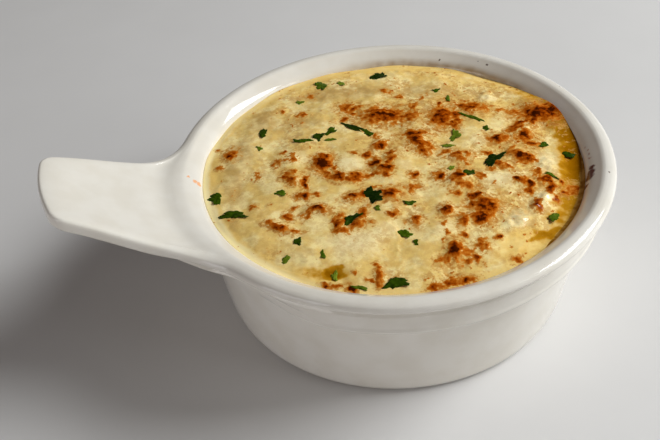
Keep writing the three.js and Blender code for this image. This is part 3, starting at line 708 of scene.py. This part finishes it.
# %% Patches of the cheese
BROTH_POOLS = [             # amber broth standing on the cheese
    (-34, -42.5, 7.5, 5.5, -28, 1.0), (29.5, -49, 15, 4, 9, 0.7), (-38, -41, 13, 5, -34, 0.4),
]
FAT_FILM = [                # thin golden fat
    (19.5, -51.5, 18, 11, 24, 0.9), (-54, 18, 28, 5, 77, 0.8), (-53.5, -23, 24, 4, -70, 0.8),
    (-41, -41, 22, 8, -43, 0.9), (9, 53, 24, 6, -13, 0.6), (37.5, 38.5, 32, 7, -34, 0.7),
    (-14.5, 52, 15, 5, 0, 0.6), (46, -33, 10, 8, 60, 0.6),
]
# Thin patches where broth shows through. Those at the back and far left also darken the cheese as
# painted shade.
THIN_AND_SHADED_CHEESE = [             # broth shows through from below
    (-32, 40, 13, 8, 60, 0.9), (-43.5, 24, 15, 7, 78, 0.8), (-50.5, 8, 22, 6, 76, 0.8),
    (-56, -10, 10, 5, 78, 0.6), (1, 44, 32, 9, -15, 0.9), (27.5, 33, 21, 9, -33, 0.8),
    (-48, -27, 18, 6, -60, 0.2), (-24, 33, 22, 8, -20, 0.6),
]
PALE_MOUNDS = [             # thick, smooth and hardly browned
    (-13, 2.5, 10, 8, -29, 1.0), (27, -23, 12, 9, -14, 1.0), (44.5, -20, 12, 9, 54, 1.0),
    (-24, -33, 17, 13, -26, 1.0), (35, -36, 10, 7, 45, 1.0), (24, -42, 11, 7, 26, 1.0),
    (44, 21, 7, 5, -30, 0.9), (-32, 0, 3, 5, 75, 0.5), (-14, -32, 9, 7, -60, 0.7),
    (3, -5, 6, 5, 0, 0.6), (2, -38, 8, 6, 0, 0.6), (-27, 13, 8, 8, 0, 0.5),
    (30, -2, 8, 6, 60, 0.6), (-6, -9, 8, 4, -20, 0.5),
]
GLOSSY = [                  # wet, rounded ridges of smooth cheese
    (24, -41.5, 11, 5, 28, 1.0), (35.5, -35.5, 8, 5, 46, 0.9), (44, -21, 8, 5, 60, 0.8),
    (30, -39.5, 6, 4, 30, 0.7), (44, 22.5, 7, 4, 60, 0.7), (-10, -15, 3, 2.4, 40, 0.5),
]


def patches(x, y, listed, inner, outer):
    """Strongest of the listed patches at each point: full within `inner` of an ellipse's own
    radius, and gone beyond `outer`."""
    total = np.zeros(np.shape(x))
    for centre_x, centre_y, length, width, turn, strength in listed:
        along, across = own_axes(x, y, centre_x, centre_y, turn)
        radii = np.hypot(along / (length / 2), across / (width / 2))
        total = np.maximum(total, strength * (1 - ease(radii, inner, outer)))
    return total


print("%d pale mounds" % len(PALE_MOUNDS))

# %% [markdown]
# A fold is where one sheet of cheese ran over another: a short curved line with a step across it.
# The distance to the line gives the step. The relief is smooth on the pale mounds, and blistered
# and rough where the crust browned. Standing broth finds its own level, so pools are flat.

# %% Fields and relief of the cheese
FOLDS = [                   # lines of points, each with the step down on its left side
    [(-17, -26.5), (-15.5, -26.6), (-12.3, -28.3), (-10.6, -32), (-10.9, -36.5), (-13, -40)],
    [(-46.5, -14.5), (-43, -17), (-41, -20), (-36, -22.5)],
    [(-52, -29), (-49.7, -32.4), (-47, -35)],
    [(-24, 1), (-20, -4.5), (-14, -7), (-8, -8), (-3, -8.5)],
    [(-6, 36), (6, 33), (16, 34), (24, 27)],
]
FOLD_STEP = 0.3
FOLD_REACH = 2.2            # distance over which the step dies away
FOLD_EDGE = 0.9             # and over which it rises at the line
BEND = 1.0                  # how far outlines of patches are bent, in bends of this size
BEND_SIZE = 3.2
CRUMB_SIZE = 1.9            # of the crust's ragged edge
FRECKLE_SIZE = 1.35
FRECKLED_SIZE = 15          # of the regions that have freckles
RAGGED_SIZE = 5             # of the uneven edge of fat and broth


def fold_steps(x, y):
    """For each fold, a step that dies away over a few millimetres on its low side."""
    total = np.zeros(np.shape(x))
    for line in FOLDS:
        line = np.array(line, float)
        nearest = np.full(np.shape(x), 2 * RIM_RADIUS)
        side = np.zeros(np.shape(x))
        for start, end in zip(line[:-1], line[1:]):
            run = end - start
            share = np.clip(((x - start[0]) * run[0] + (y - start[1]) * run[1]) / (run @ run), 0, 1)
            gap_x = x - start[0] - share * run[0]
            gap_y = y - start[1] - share * run[1]
            gap = np.hypot(gap_x, gap_y)
            turned = np.sign(run[0] * gap_y - run[1] * gap_x)
            side = np.where(gap < nearest, turned, side)
            nearest = np.minimum(nearest, gap)
        rise = np.where(side < 0, 1.0, -0.4)
        total += rise * np.exp(-nearest / FOLD_REACH) * ease(nearest, 0, FOLD_EDGE)
    return total


def cheese_fields(x, y):
    """All fields of the cheese at points of the plan, each from about 0 to 1."""
    bent_x = x + BEND * lumps(x, y, BEND_SIZE, 11)
    bent_y = y + BEND * lumps(x, y, BEND_SIZE, 21)
    crumbs = lumps(x, y, CRUMB_SIZE, 31)
    angle = np.arctan2(y, x)
    inside = cheese_radius(angle) - np.hypot(x, y)
    mound = patches(bent_x, bent_y, PALE_MOUNDS, 0.3, 1.4)
    spotted = ease(lumps(x, y, FRECKLED_SIZE, 36) + 0.009 * (x + 8), -0.05, 0.45) * (1 - 0.9 * mound)
    freckles = ease(noise(x, y, FRECKLE_SIZE, 35), 0.4, 0.75) * spotted
    near = patches(bent_x, bent_y, BROWNED, 0.25, 1.8)
    browned = near + 0.34 * crumbs * ease(near, 0.08, 0.45)
    tan = patches(bent_x, bent_y, BROWNED, 0.9, 3.0) + 0.5 * crumbs * spotted
    ragged = 1.5 * lumps(x, y, RAGGED_SIZE, 41)
    at_left = np.exp(-((np.abs(angle) - math.pi) / 1.0) ** 2)
    at_back = np.exp(-((angle - 1.4) / 0.6) ** 2)
    at_right = np.exp(-((angle + 0.3) / 0.6) ** 2)
    fat_width = 0.8 + 1.4 * at_left + 2.6 * at_back + 1.5 * at_right
    at_edge = 1 - ease(inside + 0.6 * ragged, fat_width - 1, fat_width + 1.5)
    fat = np.maximum(patches(bent_x, bent_y, FAT_FILM, 0.3, 1.5), at_edge)
    broth = np.maximum(patches(bent_x, bent_y, BROTH_POOLS, 0.3, 1.5),
                       at_right * (1 - ease(inside + ragged, 1.0, 7.0)))
    return {
        "browned": np.maximum(browned, 0.62 * freckles),
        "tan": np.maximum(tan, freckles) * (1 - 0.75 * mound),
        "fat": fat,
        "broth": broth,
        # Thin cheese, and painted shade over the back and far left.
        "thin": patches(bent_x, bent_y, THIN_AND_SHADED_CHEESE, 0.4, 1.6),
        "mound": mound,
        "gloss": patches(x, y, GLOSSY, 0.3, 1.5),
        "grain": spotted,
        "rim": at_left * (1 - ease(inside + 0.35 * ragged, 0.6, 2.2)),
    }


BLISTERS, BLISTER_SIZE = 0.22, 6.5      # height and size of each kind of relief
WRINKLES, WRINKLE_SIZE = 0.08, 4.0
GRAINS, GRAIN_SIZE = 0.24, 1.1
PITS, PIT_SIZE = 0.12, 0.7
MOUND_RISE = 0.3
CRUST_RISE = 0.25
POOL_DEPTH = 0.4
RIDGE_RISE = 0.55
RIDGE_LUMPS, RIDGE_LUMP_SIZE = 0.7, 2.6


def cheese_top(x, y, fields=None):
    """Height of the fine surface above the table."""
    fields = fields or cheese_fields(x, y)
    angle = np.arctan2(y, x)
    inner = 1 - ease(np.hypot(x, y) / cheese_radius(angle), 0.93, 1)
    rough = 0.06 + 0.55 * fields["browned"]
    calm = 1 - 0.75 * np.maximum(fields["mound"], fields["broth"])
    blisters = BLISTERS * lumps(x, y, BLISTER_SIZE, 51, 2)
    wrinkles = WRINKLES * (1 - 2 * np.abs(noise(x, y, WRINKLE_SIZE, 55)))
    pits = PITS * (1 - 2 * np.abs(noise(x, y, PIT_SIZE, 62)))
    grain = rough * (GRAINS * noise(x, y, GRAIN_SIZE, 61) + pits)
    relief = calm * (blisters + wrinkles + grain)
    relief = relief + MOUND_RISE * fields["mound"] + CRUST_RISE * fields["browned"]
    relief = relief + FOLD_STEP * fold_steps(x, y) - POOL_DEPTH * patches(x, y, BROTH_POOLS, 0.2, 1.5)
    ridges = RIDGE_RISE + RIDGE_LUMPS * noise(x, y, RIDGE_LUMP_SIZE, 91)
    relief = relief + fields["gloss"] * ridges
    return CHEESE_BASE + solid_height(x, y) + relief * inner


# %% [markdown]
# A disc with rings would crowd its points at the middle. Instead a square grid is bent onto the
# disc: x = u * sqrt(1 - v^2 / 2) and the same the other way round, which keeps the faces nearly
# even. At its edge the cheese touches the wall, except where it drew back and thins out into the
# broth.

# %% Cheese mesh
CHEESE_CELLS = 286
SKIRT_HEIGHT = SOUP_LEVEL - 0.1     # underside of the cheese, just in the broth
steps = np.linspace(-1, 1, CHEESE_CELLS + 1)
u, v = np.meshgrid(steps, steps)
disc_x = u * np.sqrt(1 - v * v / 2)
disc_y = v * np.sqrt(1 - u * u / 2)
disc_angle = np.arctan2(disc_y, disc_x)
disc_out = np.minimum(np.hypot(disc_x, disc_y), 1)


def contact(angle):
    """Radius and height of the cheese's visible edge: on the wall, or in the broth where the
    cheese has drawn back."""
    free = ease(drawn_back(angle), 0.2, 0.8)
    lift = CHEESE_EDGE + crust_climb(angle) + 0.25 * np.sin(7 * angle + 1) + 0.15 * np.sin(17 * angle)
    height = (CHEESE_BASE + lift) * (1 - free) + (SOUP_LEVEL + 0.03) * free
    ragged = 1.1 + 0.35 * np.sin(23 * angle) + 0.25 * np.sin(41 * angle + 2)
    return wall_radius(height) + WETTING - ragged * free, height


edge_radius, edge_height = contact(disc_angle)
cheese_x = disc_out * edge_radius * np.cos(disc_angle)
cheese_y = disc_out * edge_radius * np.sin(disc_angle)
fields = cheese_fields(cheese_x, cheese_y)
hem = ease(disc_out, 0.965 - 0.1 * ease(drawn_back(disc_angle), 0.1, 0.7), 1.0)
cheese_z = cheese_top(cheese_x, cheese_y, fields) * (1 - hem) + edge_height * hem

number = np.arange((CHEESE_CELLS + 1) ** 2).reshape(CHEESE_CELLS + 1, CHEESE_CELLS + 1)
boundary = np.concatenate([number[0, :-1], number[:-1, -1], number[-1, :0:-1], number[:0:-1, 0]])
rim_angle = disc_angle.ravel()[boundary]
rim_radius, rim_height = contact(rim_angle)
below = []
for share, tuck in ((0.55, 0.0), (0.0, 0.25), (0.0, 1.5)):
    height = SKIRT_HEIGHT + (rim_height - SKIRT_HEIGHT) * share
    radius = np.minimum(rim_radius, wall_radius(height) + WETTING) - tuck
    below.append(in_frame(radius * np.cos(rim_angle), radius * np.sin(rim_angle), height))
top_points = in_frame(cheese_x, cheese_y, cheese_z).reshape(-1, 3)
points = np.concatenate([top_points, *below, [in_frame(0, 0, SKIRT_HEIGHT)]])
rim_count = len(boundary)
first = len(top_points)
skirt = np.concatenate([boundary[None], first + np.arange(3 * rim_count).reshape(3, rim_count)])
skirt = np.concatenate([skirt, skirt[:, :1]], axis=1)
faces = [
    grid_faces(CHEESE_CELLS + 1, CHEESE_CELLS + 1, around=False),
    np.stack([skirt[:-1, 1:], skirt[:-1, :-1], skirt[1:, :-1], skirt[1:, 1:]], axis=-1).reshape(-1, 4),
    fan_faces(first + 2 * rim_count + np.arange(rim_count), first + 3 * rim_count, upper=False),
]
hidden = np.full(3 * rim_count + 1, 0.5)
point_fields = {label: np.concatenate([values.ravel(), hidden]) for label, values in fields.items()}
cheese = new_piece("melted_cheese", points, faces, point_fields)

# %% [markdown]
# ## The parsley
#
# Chopped leaves are small, thin and a little crumpled. Each one is a closed lens: an outline whose
# radius swells and shrinks in lobes, a top that follows the cheese and curls at its edge, and an
# underside pressed into the cheese. They are one piece of many leaves, with a tone for each.

# %% Parsley
PARSLEY = [                 # x, y, length, width, turn in degrees, tone from dark to pale
    (-34, 32, 5, 2.8, 70, 0.2), (-23.5, 21.5, 6.5, 2.2, -35, 0.4), (-17.5, 21, 4.5, 3.2, 60, 0.1),
    (-13, 22.5, 5.5, 2.6, 40, 0.3), (-14.5, 18, 3.5, 1.6, -25, 0.6), (-5.5, 22, 9, 2.4, -55, 0.1),
    (-2, 16.5, 5, 2.4, -75, 0.3), (-6.5, 53.5, 6.5, 4, 85, 0.5), (0.5, 51, 3.5, 2.6, 75, 0.8),
    (15, 51, 6, 4.6, 40, 0.1), (29.5, 32, 3.2, 2.2, 55, 0.4), (31, 25.5, 4.4, 1.6, 60, 0.6),
    (33.5, 11, 9, 1.8, -57, 0.5), (35, 3.5, 2.6, 2.2, 60, 0.4), (24, 4, 6.5, 3, 55, 0.7),
    (19.5, -0.5, 4.6, 1.8, -18, 0.8), (30, -13, 10, 3.8, 28, 0.0), (15.5, -12.5, 2.4, 1.8, 65, 0.9),
    (19.5, -17, 3.8, 3, 27, 0.2), (-12, -16, 7.4, 5, 80, 0.0), (-13, -22, 2.8, 1.6, -83, 0.6),
    (-21.5, -23.5, 7, 3, 33, 0.1), (-3, -23, 3.6, 2.2, -24, 0.3), (-9.5, -35.5, 4.2, 3.2, -25, 0.5),
    (-8, -40, 2.8, 1.4, -89, 0.4), (-54, -6, 8.5, 3.6, -30, 0.2), (-57.5, 4.5, 5.6, 3.8, -77, 0.3),
    (-38, -3, 4, 2.4, -21, 0.5), (-37.5, 24, 2.6, 1.8, 84, 0.7), (-39.5, -26, 3.4, 2.4, -84, 0.2),
    (-45, -31.5, 3.6, 2, 48, 0.7), (-34.5, -34.5, 3.6, 1.4, 81, 0.5), (-34, -43.5, 4, 1.8, 63, 0.9),
    (-19, -53, 7, 3.8, -2, 0.2), (-29, -50.5, 4.8, 1.4, -37, 0.6), (48.5, -11, 3.6, 2.2, 23, 0.4),
    (53.5, -18.5, 3.8, 3, -9, 0.2), (43, -26.5, 5, 1.6, -61, 0.6), (34.5, -44, 4.2, 2.6, 50, 0.6),
    (-16.5, 46, 2.8, 2.4, -47, 0.8),
]
LEAF_COLUMNS = 48
LEAF_RINGS = 7
LEAF_THICKNESS = 0.28


def leaf(x, y, length, width, turn, random):
    """Rings of points of one leaf, from its lower middle round its edge to its upper middle."""
    bearing = math.radians(turn)
    theta = 2 * np.pi * np.arange(LEAF_COLUMNS) / LEAF_COLUMNS
    phases = random.uniform(0, 2 * np.pi, 5)
    lobes = 1 + 0.14 * np.cos(3 * theta + phases[0]) + 0.12 * np.cos(5 * theta + phases[1])
    lobes += 0.06 * np.cos(11 * theta + phases[2]) + 0.05 * np.cos(16 * theta + phases[3])
    shares = np.linspace(0, 1, LEAF_RINGS + 1)[1:]
    out = np.concatenate([shares, shares[-2::-1]])[:, None]
    upper = np.concatenate([np.zeros(LEAF_RINGS), np.ones(LEAF_RINGS - 1)])[:, None]
    along = out * lobes * np.cos(theta) * length / 2
    across = out * lobes * np.sin(theta) * width / 2
    across = across + 0.12 * width * np.sin(1.5 * along / length * np.pi + phases[3])
    leaf_x = x + along * math.cos(bearing) - across * math.sin(bearing)
    leaf_y = y + along * math.sin(bearing) + across * math.cos(bearing)
    curl = 0.09 * width * out ** 2 * np.cos(2 * theta + phases[3])
    crumple = 0.16 * noise(leaf_x, leaf_y, 1.6, 71) + 0.07 * np.cos(6 * theta + phases[4]) * out
    height = cheese_top(leaf_x, leaf_y) + 0.12 + np.maximum(curl, -0.1) + crumple
    height = height + (upper - 0.5) * LEAF_THICKNESS * (1 - 0.8 * out ** 3)
    return in_frame(leaf_x, leaf_y, height)


random = np.random.default_rng(7)
leaf_points, leaf_faces, leaf_tones = [], [], []
leaf_rows = 2 * LEAF_RINGS - 1
per_leaf = leaf_rows * LEAF_COLUMNS + 2
for x, y, length, width, turn, tone in PARSLEY:
    rings = leaf(x, y, length, width, turn, random)
    start = len(leaf_tones) * per_leaf
    ring = start + np.arange(LEAF_COLUMNS)
    leaf_points += [rings.reshape(-1, 3), rings[0].mean(axis=0)[None], rings[-1].mean(axis=0)[None]]
    last_ring = ring + (leaf_rows - 1) * LEAF_COLUMNS
    leaf_faces.append((grid_faces(leaf_rows, LEAF_COLUMNS, start),
                       fan_faces(ring, start + per_leaf - 2, upper=False),
                       fan_faces(last_ring, start + per_leaf - 1, upper=True)))
    leaf_tones.append(np.full(per_leaf, tone))
leaf_blocks = [np.concatenate(block) for block in zip(*leaf_faces)]
parsley = new_piece("parsley", np.concatenate(leaf_points), leaf_blocks,
                    {"tone": np.concatenate(leaf_tones)})

# %% [markdown]
# ## Materials
#
# A shader graph is arithmetic on colours and numbers, so it reads best as arithmetic. `Wire`
# stands for one output of a node: adding, multiplying or comparing wires adds the Math nodes.
# `Finish` is one material; its `node` method makes any other node from its settings and values.


# %% Shader maths
class Wire:
    """One output of a node. Arithmetic on it adds Math nodes to its finish."""

    def __init__(self, finish, socket):
        self.finish = finish
        self.socket = socket

    def math(self, operation, first, second):
        return self.finish.node("Math", {"operation": operation}, {0: first, 1: second})

    def __add__(self, other):
        return self.math("ADD", self, other)

    def __sub__(self, other):
        return self.math("SUBTRACT", self, other)

    def __rsub__(self, other):
        return self.math("SUBTRACT", other, self)

    def __mul__(self, other):
        return self.math("MULTIPLY", self, other)

    def at_least(self, other):
        return self.math("MAXIMUM", self, other)

    def at_most(self, other):
        return self.math("MINIMUM", self, other)

    __radd__ = __add__
    __rmul__ = __mul__


class Finish:
    """A material, its Principled shader and the nodes that feed it."""

    SHAKE = 1.6                 # millimetres by which noise pushes the outline of a mark
    LUMPS_PER_METRE = 900.0     # and how fine that noise is

    def __init__(self, name, **constants):
        self.material = bpy.data.materials.new(name)
        self.material.use_nodes = True
        self.tree = self.material.node_tree
        self.shader = self.tree.nodes["Principled BSDF"]
        for label, value in constants.items():
            self.shader.inputs[label.replace("_", " ")].default_value = value
        self.place = self.node("TexCoord", out="Object")

    def node(self, kind, settings=None, values=None, out=0):
        """Adds a node: its settings first, then numbers or wires into its sockets."""
        made = self.tree.nodes.new("ShaderNode" + kind)
        for label, value in (settings or {}).items():
            if label == "stops":
                stops = made.color_ramp.elements
                while len(stops) < len(value):
                    stops.new(1.0)
                for stop, (position, colour) in zip(stops, value):
                    stop.position = position
                    stop.color = colour
            else:
                setattr(made, label, value)
        for label, value in (values or {}).items():
            self.feed(made.inputs[label], value)
        return Wire(self, made.outputs[out])

    def feed(self, socket, value):
        """A wire is linked, and anything else becomes the socket's own value."""
        if isinstance(value, Wire):
            self.tree.links.new(value.socket, socket)
        else:
            socket.default_value = value

    def set(self, **values):
        """Feeds the Principled shader's sockets by name."""
        for label, value in values.items():
            self.feed(self.shader.inputs[label.replace("_", " ")], value)

    def noise(self, size, detail=2.0, roughness=0.5):
        """Noise of 0 to 1 whose lumps are `size` millimetres."""
        return self.node("TexNoise", None, {
            "Vector": self.place, "Scale": 1 / (size * MM), "Detail": detail, "Roughness": roughness})

    def field(self, label):
        """A point attribute of the piece."""
        return self.node("Attribute", {"attribute_name": label}, out="Fac")

    def between(self, value, low, high):
        """0 below low, 1 above high, smooth between them."""
        return self.node("MapRange", {"interpolation_type": "SMOOTHSTEP"}, {0: value, 1: low, 2: high})

    def mix(self, first, second, share):
        """Colour between two colours."""
        return self.node("Mix", {"data_type": "RGBA"}, {0: share, 6: first, 7: second}, out=2)

    def ramp(self, value, stops):
        """Colour from a ramp of (position, colour) stops."""
        return self.node("ValToRGB", {"stops": stops}, {0: value})

    def marks(self, places):
        """1 inside small ragged balls, each given as x, y, height and radius in millimetres."""
        rough = self.node("TexNoise", None, {
            "Vector": self.place, "Scale": self.LUMPS_PER_METRE, "Detail": 2.0}, out="Color")
        shake = self.node("VectorMath", {"operation": "SCALE"}, {0: rough, "Scale": self.SHAKE * MM})
        shaken = self.node("VectorMath", {"operation": "ADD"}, {0: self.place, 1: shake})
        total = 0.0
        for x, y, z, radius in places:
            centre = tuple(in_frame(x, y, z) + self.SHAKE / 2 * MM)
            away = self.node("VectorMath", {"operation": "DISTANCE"}, {0: shaken, 1: centre}, "Value")
            total = self.between(away, radius * MM, 0.5 * radius * MM).at_least(total)
        return total

    def bump(self, height, depth, strength=1.0):
        """Normal tilted by a height of 0 to 1 that stands for `depth` millimetres."""
        return self.node("Bump", None, {"Height": height, "Distance": depth * MM, "Strength": strength})


def paint(red, green, blue):
    """A colour as a picture stores it, 0 to 255, in the linear values that shaders use."""
    shares = np.array([red, green, blue]) / 255
    linear = np.where(shares <= 0.04045, shares / 12.92, ((shares + 0.055) / 1.055) ** 2.4)
    return (*(float(value) for value in linear), 1.0)


print("shader helpers ready")

# %% [markdown]
# **Glaze.** A warm white glass layer over stoneware: smooth and glossy, with a slow unevenness
# that bends reflections a little, and faint mottling. Where the soup boiled up, a thin brown
# film stays on the inside wall. On the rim and the wall there are specks, an orange splash, a
# baked-on run and a line of grease.

# %% Glaze
SPECKS = [                  # pixels across and down in the view, and radius in millimetres
    (440, 60, 0.5), (478, 61, 0.4), (487, 65, 0.45), (560, 86, 0.4), (609, 172, 0.45),
    (447, 299, 0.4), (545, 264, 0.4),
]
SPLASH = [(189, 176, 0.8), (195, 181, 1.0), (199, 184, 1.2)]
BAKED_ON = [(592, 167, 1.4), (591, 172, 2.0), (589, 177, 2.3), (586, 187, 1.4)]
GREASE_LINE = [(585, 148, 0.5), (588, 150, 0.6), (589, 154, 0.6), (590, 158, 0.7)]
glaze = Finish("glazed_stoneware", Roughness=0.09, IOR=1.5, Specular_IOR_Level=0.36)
mottle = glaze.between(glaze.noise(9.0, 3.0), 0.3, 0.7)
glaze_colour = glaze.mix(paint(227, 222, 213), paint(221, 215, 204), mottle)
glaze_colour = glaze.mix(glaze_colour, paint(148, 110, 48), (glaze.field("film") * 0.6).at_most(0.75))
for seen, stain, strength in (
    (SPECKS, paint(74, 44, 22), 0.85),
    (SPLASH, paint(242, 158, 84), 0.75),
    (BAKED_ON, paint(92, 34, 14), 0.95),
    (GREASE_LINE, paint(176, 112, 86), 0.6),
):
    places = [(*on_glaze(across, down), radius) for across, down, radius in seen]
    glaze_colour = glaze.mix(glaze_colour, stain, glaze.marks(places) * strength)
glaze.set(Base_Color=glaze_colour, Normal=glaze.bump(glaze.noise(14.0, 1.0), 0.25, 0.5))
dish.data.materials.append(glaze.material)

# %% [markdown]
# **Broth.** Amber, cloudy with fat, and smooth.

# %% Broth
broth = Finish("broth", Roughness=0.1, IOR=1.4, Specular_IOR_Level=0.1)
fatty, clear = paint(190, 142, 64), paint(152, 102, 26)
broth.set(Base_Color=broth.mix(fatty, clear, broth.between(broth.noise(2.6, 3.0), 0.38, 0.6)))
soup.data.materials.append(broth.material)

# %% [markdown]
# ** Cheese.** Cream where it is thick, yellower where fat lies on it, beige where it is thin, and
# through orange to nearly black where it browned. The beige also serves as painted shade, darker over
# the back and far left of the cheese. Fine noise shifts the browning before it goes through the
# colour ramp, so the edges of the crust are grainy. Only the wet ridges have a strong clear coat,
# and fat and broth a faint one.

# %% Cheese
melted = Finish("browned_cheese", IOR=1.45, Specular_IOR_Level=0.0, Coat_Roughness=0.16,
                Subsurface_Weight=0.08, Subsurface_Scale=0.0015, Subsurface_Radius=(1.0, 0.6, 0.25))
cloudy = melted.between(melted.noise(7.0, 4.0, 0.6), 0.38, 0.6)
speckle = melted.noise(0.9, 4.0, 0.65)
cream = melted.mix(paint(248, 225, 158), paint(232, 197, 116), cloudy)
cream = melted.mix(cream, paint(251, 231, 176), melted.field("mound") * 0.8)
grainy = melted.between(melted.noise(2.2, 5.0, 0.75), 0.44, 0.56) * (0.35 + 0.65 * melted.field("grain"))
cream = melted.mix(cream, paint(196, 146, 76), grainy * 0.75)
# Beige where the cheese is thin. It is also painted shade that darkens the back and far left.
thin = melted.field("thin") * (0.5 + 0.5 * melted.between(melted.noise(3.5, 3.0), 0.35, 0.6))
cream = melted.mix(cream, paint(186, 148, 88), thin * 0.85)
oiled = melted.between(melted.field("fat") + (speckle - 0.5) * 0.5, 0.1, 0.9)
cream = melted.mix(cream, paint(240, 200, 112), oiled * 0.65)
cream = melted.mix(cream, paint(255, 236, 178), melted.field("rim") * 0.9)
soaked = melted.field("broth") + (melted.noise(2.6, 3.0) - 0.5) * 0.7
amber = melted.ramp(soaked, [
    (0.15, paint(226, 176, 76)), (0.5, paint(190, 132, 24)), (0.95, paint(148, 94, 1))])
cream = melted.mix(cream, amber, melted.between(soaked, 0.1, 0.5))
granules = melted.between(melted.noise(1.5, 4.0, 0.7), 0.46, 0.54)
tanned = melted.field("tan") + (speckle - 0.5) * 1.1
tan = melted.ramp(tanned, [
    (0.2, paint(230, 190, 114)), (0.5, paint(198, 142, 68)), (0.95, paint(174, 108, 38))])
cream = melted.mix(cream, tan, melted.between(tanned, 0.15, 0.45) * (0.25 + 0.7 * granules))
clumps = melted.noise(2.4, 4.0, 0.65)
burnt = melted.field("browned") + (speckle - 0.5) * 0.6 + (clumps - 0.5) * 1.3
crust = melted.ramp(burnt, [
    (0.24, paint(204, 142, 62)), (0.36, paint(196, 118, 36)), (0.6, paint(166, 78, 6)),
    (0.83, paint(124, 46, 1)), (0.98, paint(62, 20, 1))])
colour = melted.mix(cream, crust, melted.between(burnt, 0.22, 0.29))
wet = (melted.field("fat") * 0.5).at_least(melted.field("broth"))
glossy = melted.field("gloss")
shine = 0.5 - 0.15 * wet - 0.25 * glossy + 0.15 * melted.between(burnt, 0.3, 0.7)
melted.set(Base_Color=colour, Roughness=shine, Coat_Weight=(0.06 * wet).at_least(0.9 * glossy),
           Normal=melted.bump(speckle, 0.12, 0.5))
cheese.data.materials.append(melted.material)

# %% [markdown]
# **Parsley.** Deep green and satin, some leaves yellower.

# %% Parsley finish
herb = Finish("parsley", Roughness=0.35, IOR=1.45, Specular_IOR_Level=0.02, Coat_Weight=0.02)
tone = herb.field("tone") + (herb.noise(1.2, 3.0) - 0.5) * 0.6
leaf_green = herb.ramp(tone, [
    (0.0, paint(18, 34, 4)), (0.45, paint(60, 84, 6)), (1.0, paint(120, 134, 36))])
herb.set(Base_Color=leaf_green,
         Normal=herb.bump(herb.noise(0.7, 2.0), 0.1, 0.7))
parsley.data.materials.append(herb.material)

# %% [markdown]
# ## Joining the frame
#
# Each piece rides on the one body, and takes the place of the solid it was worked out from.

# %% Pieces and their solids
for piece, node, slot in (
    (dish, "bowl", "glazed_stoneware"),
    (soup, "soup", "broth"),
    (cheese, "cheese", "browned_cheese"),
    (parsley, "cheese", "parsley"),
):
    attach(piece, "root")
    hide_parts(node)

# %% [markdown]
# ## Floor, light and camera
#
# The dish stands on a plain pale floor. A soft light like a window, high at the side away from the
# handle, lights the food and leaves the front of the dish in shade. A weaker pane, lower and
# further to the front, brightens the right of the body. A wide low light beyond the handle stands
# for what a pale table throws back, and warm dim walls fill the rest.

# %% Floor
FLOOR_CORNERS = [(-2, -2, 0), (2, -2, 0), (2, 2, 0), (-2, 2, 0)]     # metres
floor_mesh = bpy.data.meshes.new("floor")
floor_mesh.from_pydata(FLOOR_CORNERS, [], [(0, 1, 2, 3)])
floor = bpy.data.objects.new("floor", floor_mesh)
bpy.context.collection.objects.link(floor)
pale = Finish("pale_floor", Roughness=0.45)
pale.set(Base_Color=pale.mix(paint(218, 216, 215), paint(213, 211, 210), pale.noise(30.0, 2.0)))
floor_mesh.materials.append(pale.material)

# %% Light
def area_light(name, place, target, width, height, power, colour):
    """A rectangular light at a place, turned towards a target, in metres and watts."""
    light = bpy.data.lights.new(name, "AREA")
    light.shape = "RECTANGLE"
    light.size = width
    light.size_y = height
    light.energy = power
    light.color = colour
    lamp = bpy.data.objects.new(name, light)
    lamp.location = place
    lamp.rotation_euler = (Vector(target) - Vector(place)).to_track_quat("-Z", "Y").to_euler()
    bpy.context.collection.objects.link(lamp)


def around_dish(bearing, height, distance):
    """Place at a bearing and height angle, both in degrees, as seen from the dish."""
    turn, rise = math.radians(bearing), math.radians(height)
    level = math.cos(rise)
    return distance * Vector((level * math.cos(turn), level * math.sin(turn), math.sin(rise)))


LIGHT_DISTANCE = 1.3
FOOD_AT = (0, 0, 0.03)
LIGHTS = [                  # name, bearing, height angle, width, height, watts, colour
    ("window", -9, 38, 0.75, 0.4, 18.6, (0.97, 1.0, 1.0)),
    ("pane", -40, 22, 0.5, 0.4, 2.7, (0.96, 1.0, 1.0)),
    ("table", 206, 12, 0.7, 0.53, 4.0, (0.98, 0.97, 0.99)),
]
WALL_COLOUR = (1.0, 0.88, 0.82, 1)
WALL_LIGHT = 0.09
for name, bearing, rise, width, height, power, tint in LIGHTS:
    area_light(name, around_dish(bearing, rise, LIGHT_DISTANCE), FOOD_AT, width, height, power, tint)
world = bpy.data.worlds.new("walls")
world.use_nodes = True
walls = world.node_tree.nodes["Background"].inputs
walls["Color"].default_value = WALL_COLOUR
walls["Strength"].default_value = WALL_LIGHT
bpy.context.scene.world = world
bpy.context.scene.view_settings.view_transform = "Standard"

# %% Camera
lens = bpy.data.cameras.new("camera")
lens.lens = LENS
lens.sensor_width = SENSOR
lens.clip_start = 0.01
camera = bpy.data.objects.new("camera", lens)
turned = Matrix((CAMERA_RIGHT, CAMERA_UP, -LOOKS_ALONG)).transposed().to_4x4()
camera.matrix_world = Matrix.Translation(CAMERA_AT) @ turned
bpy.context.collection.objects.link(camera)
bpy.context.scene.camera = camera
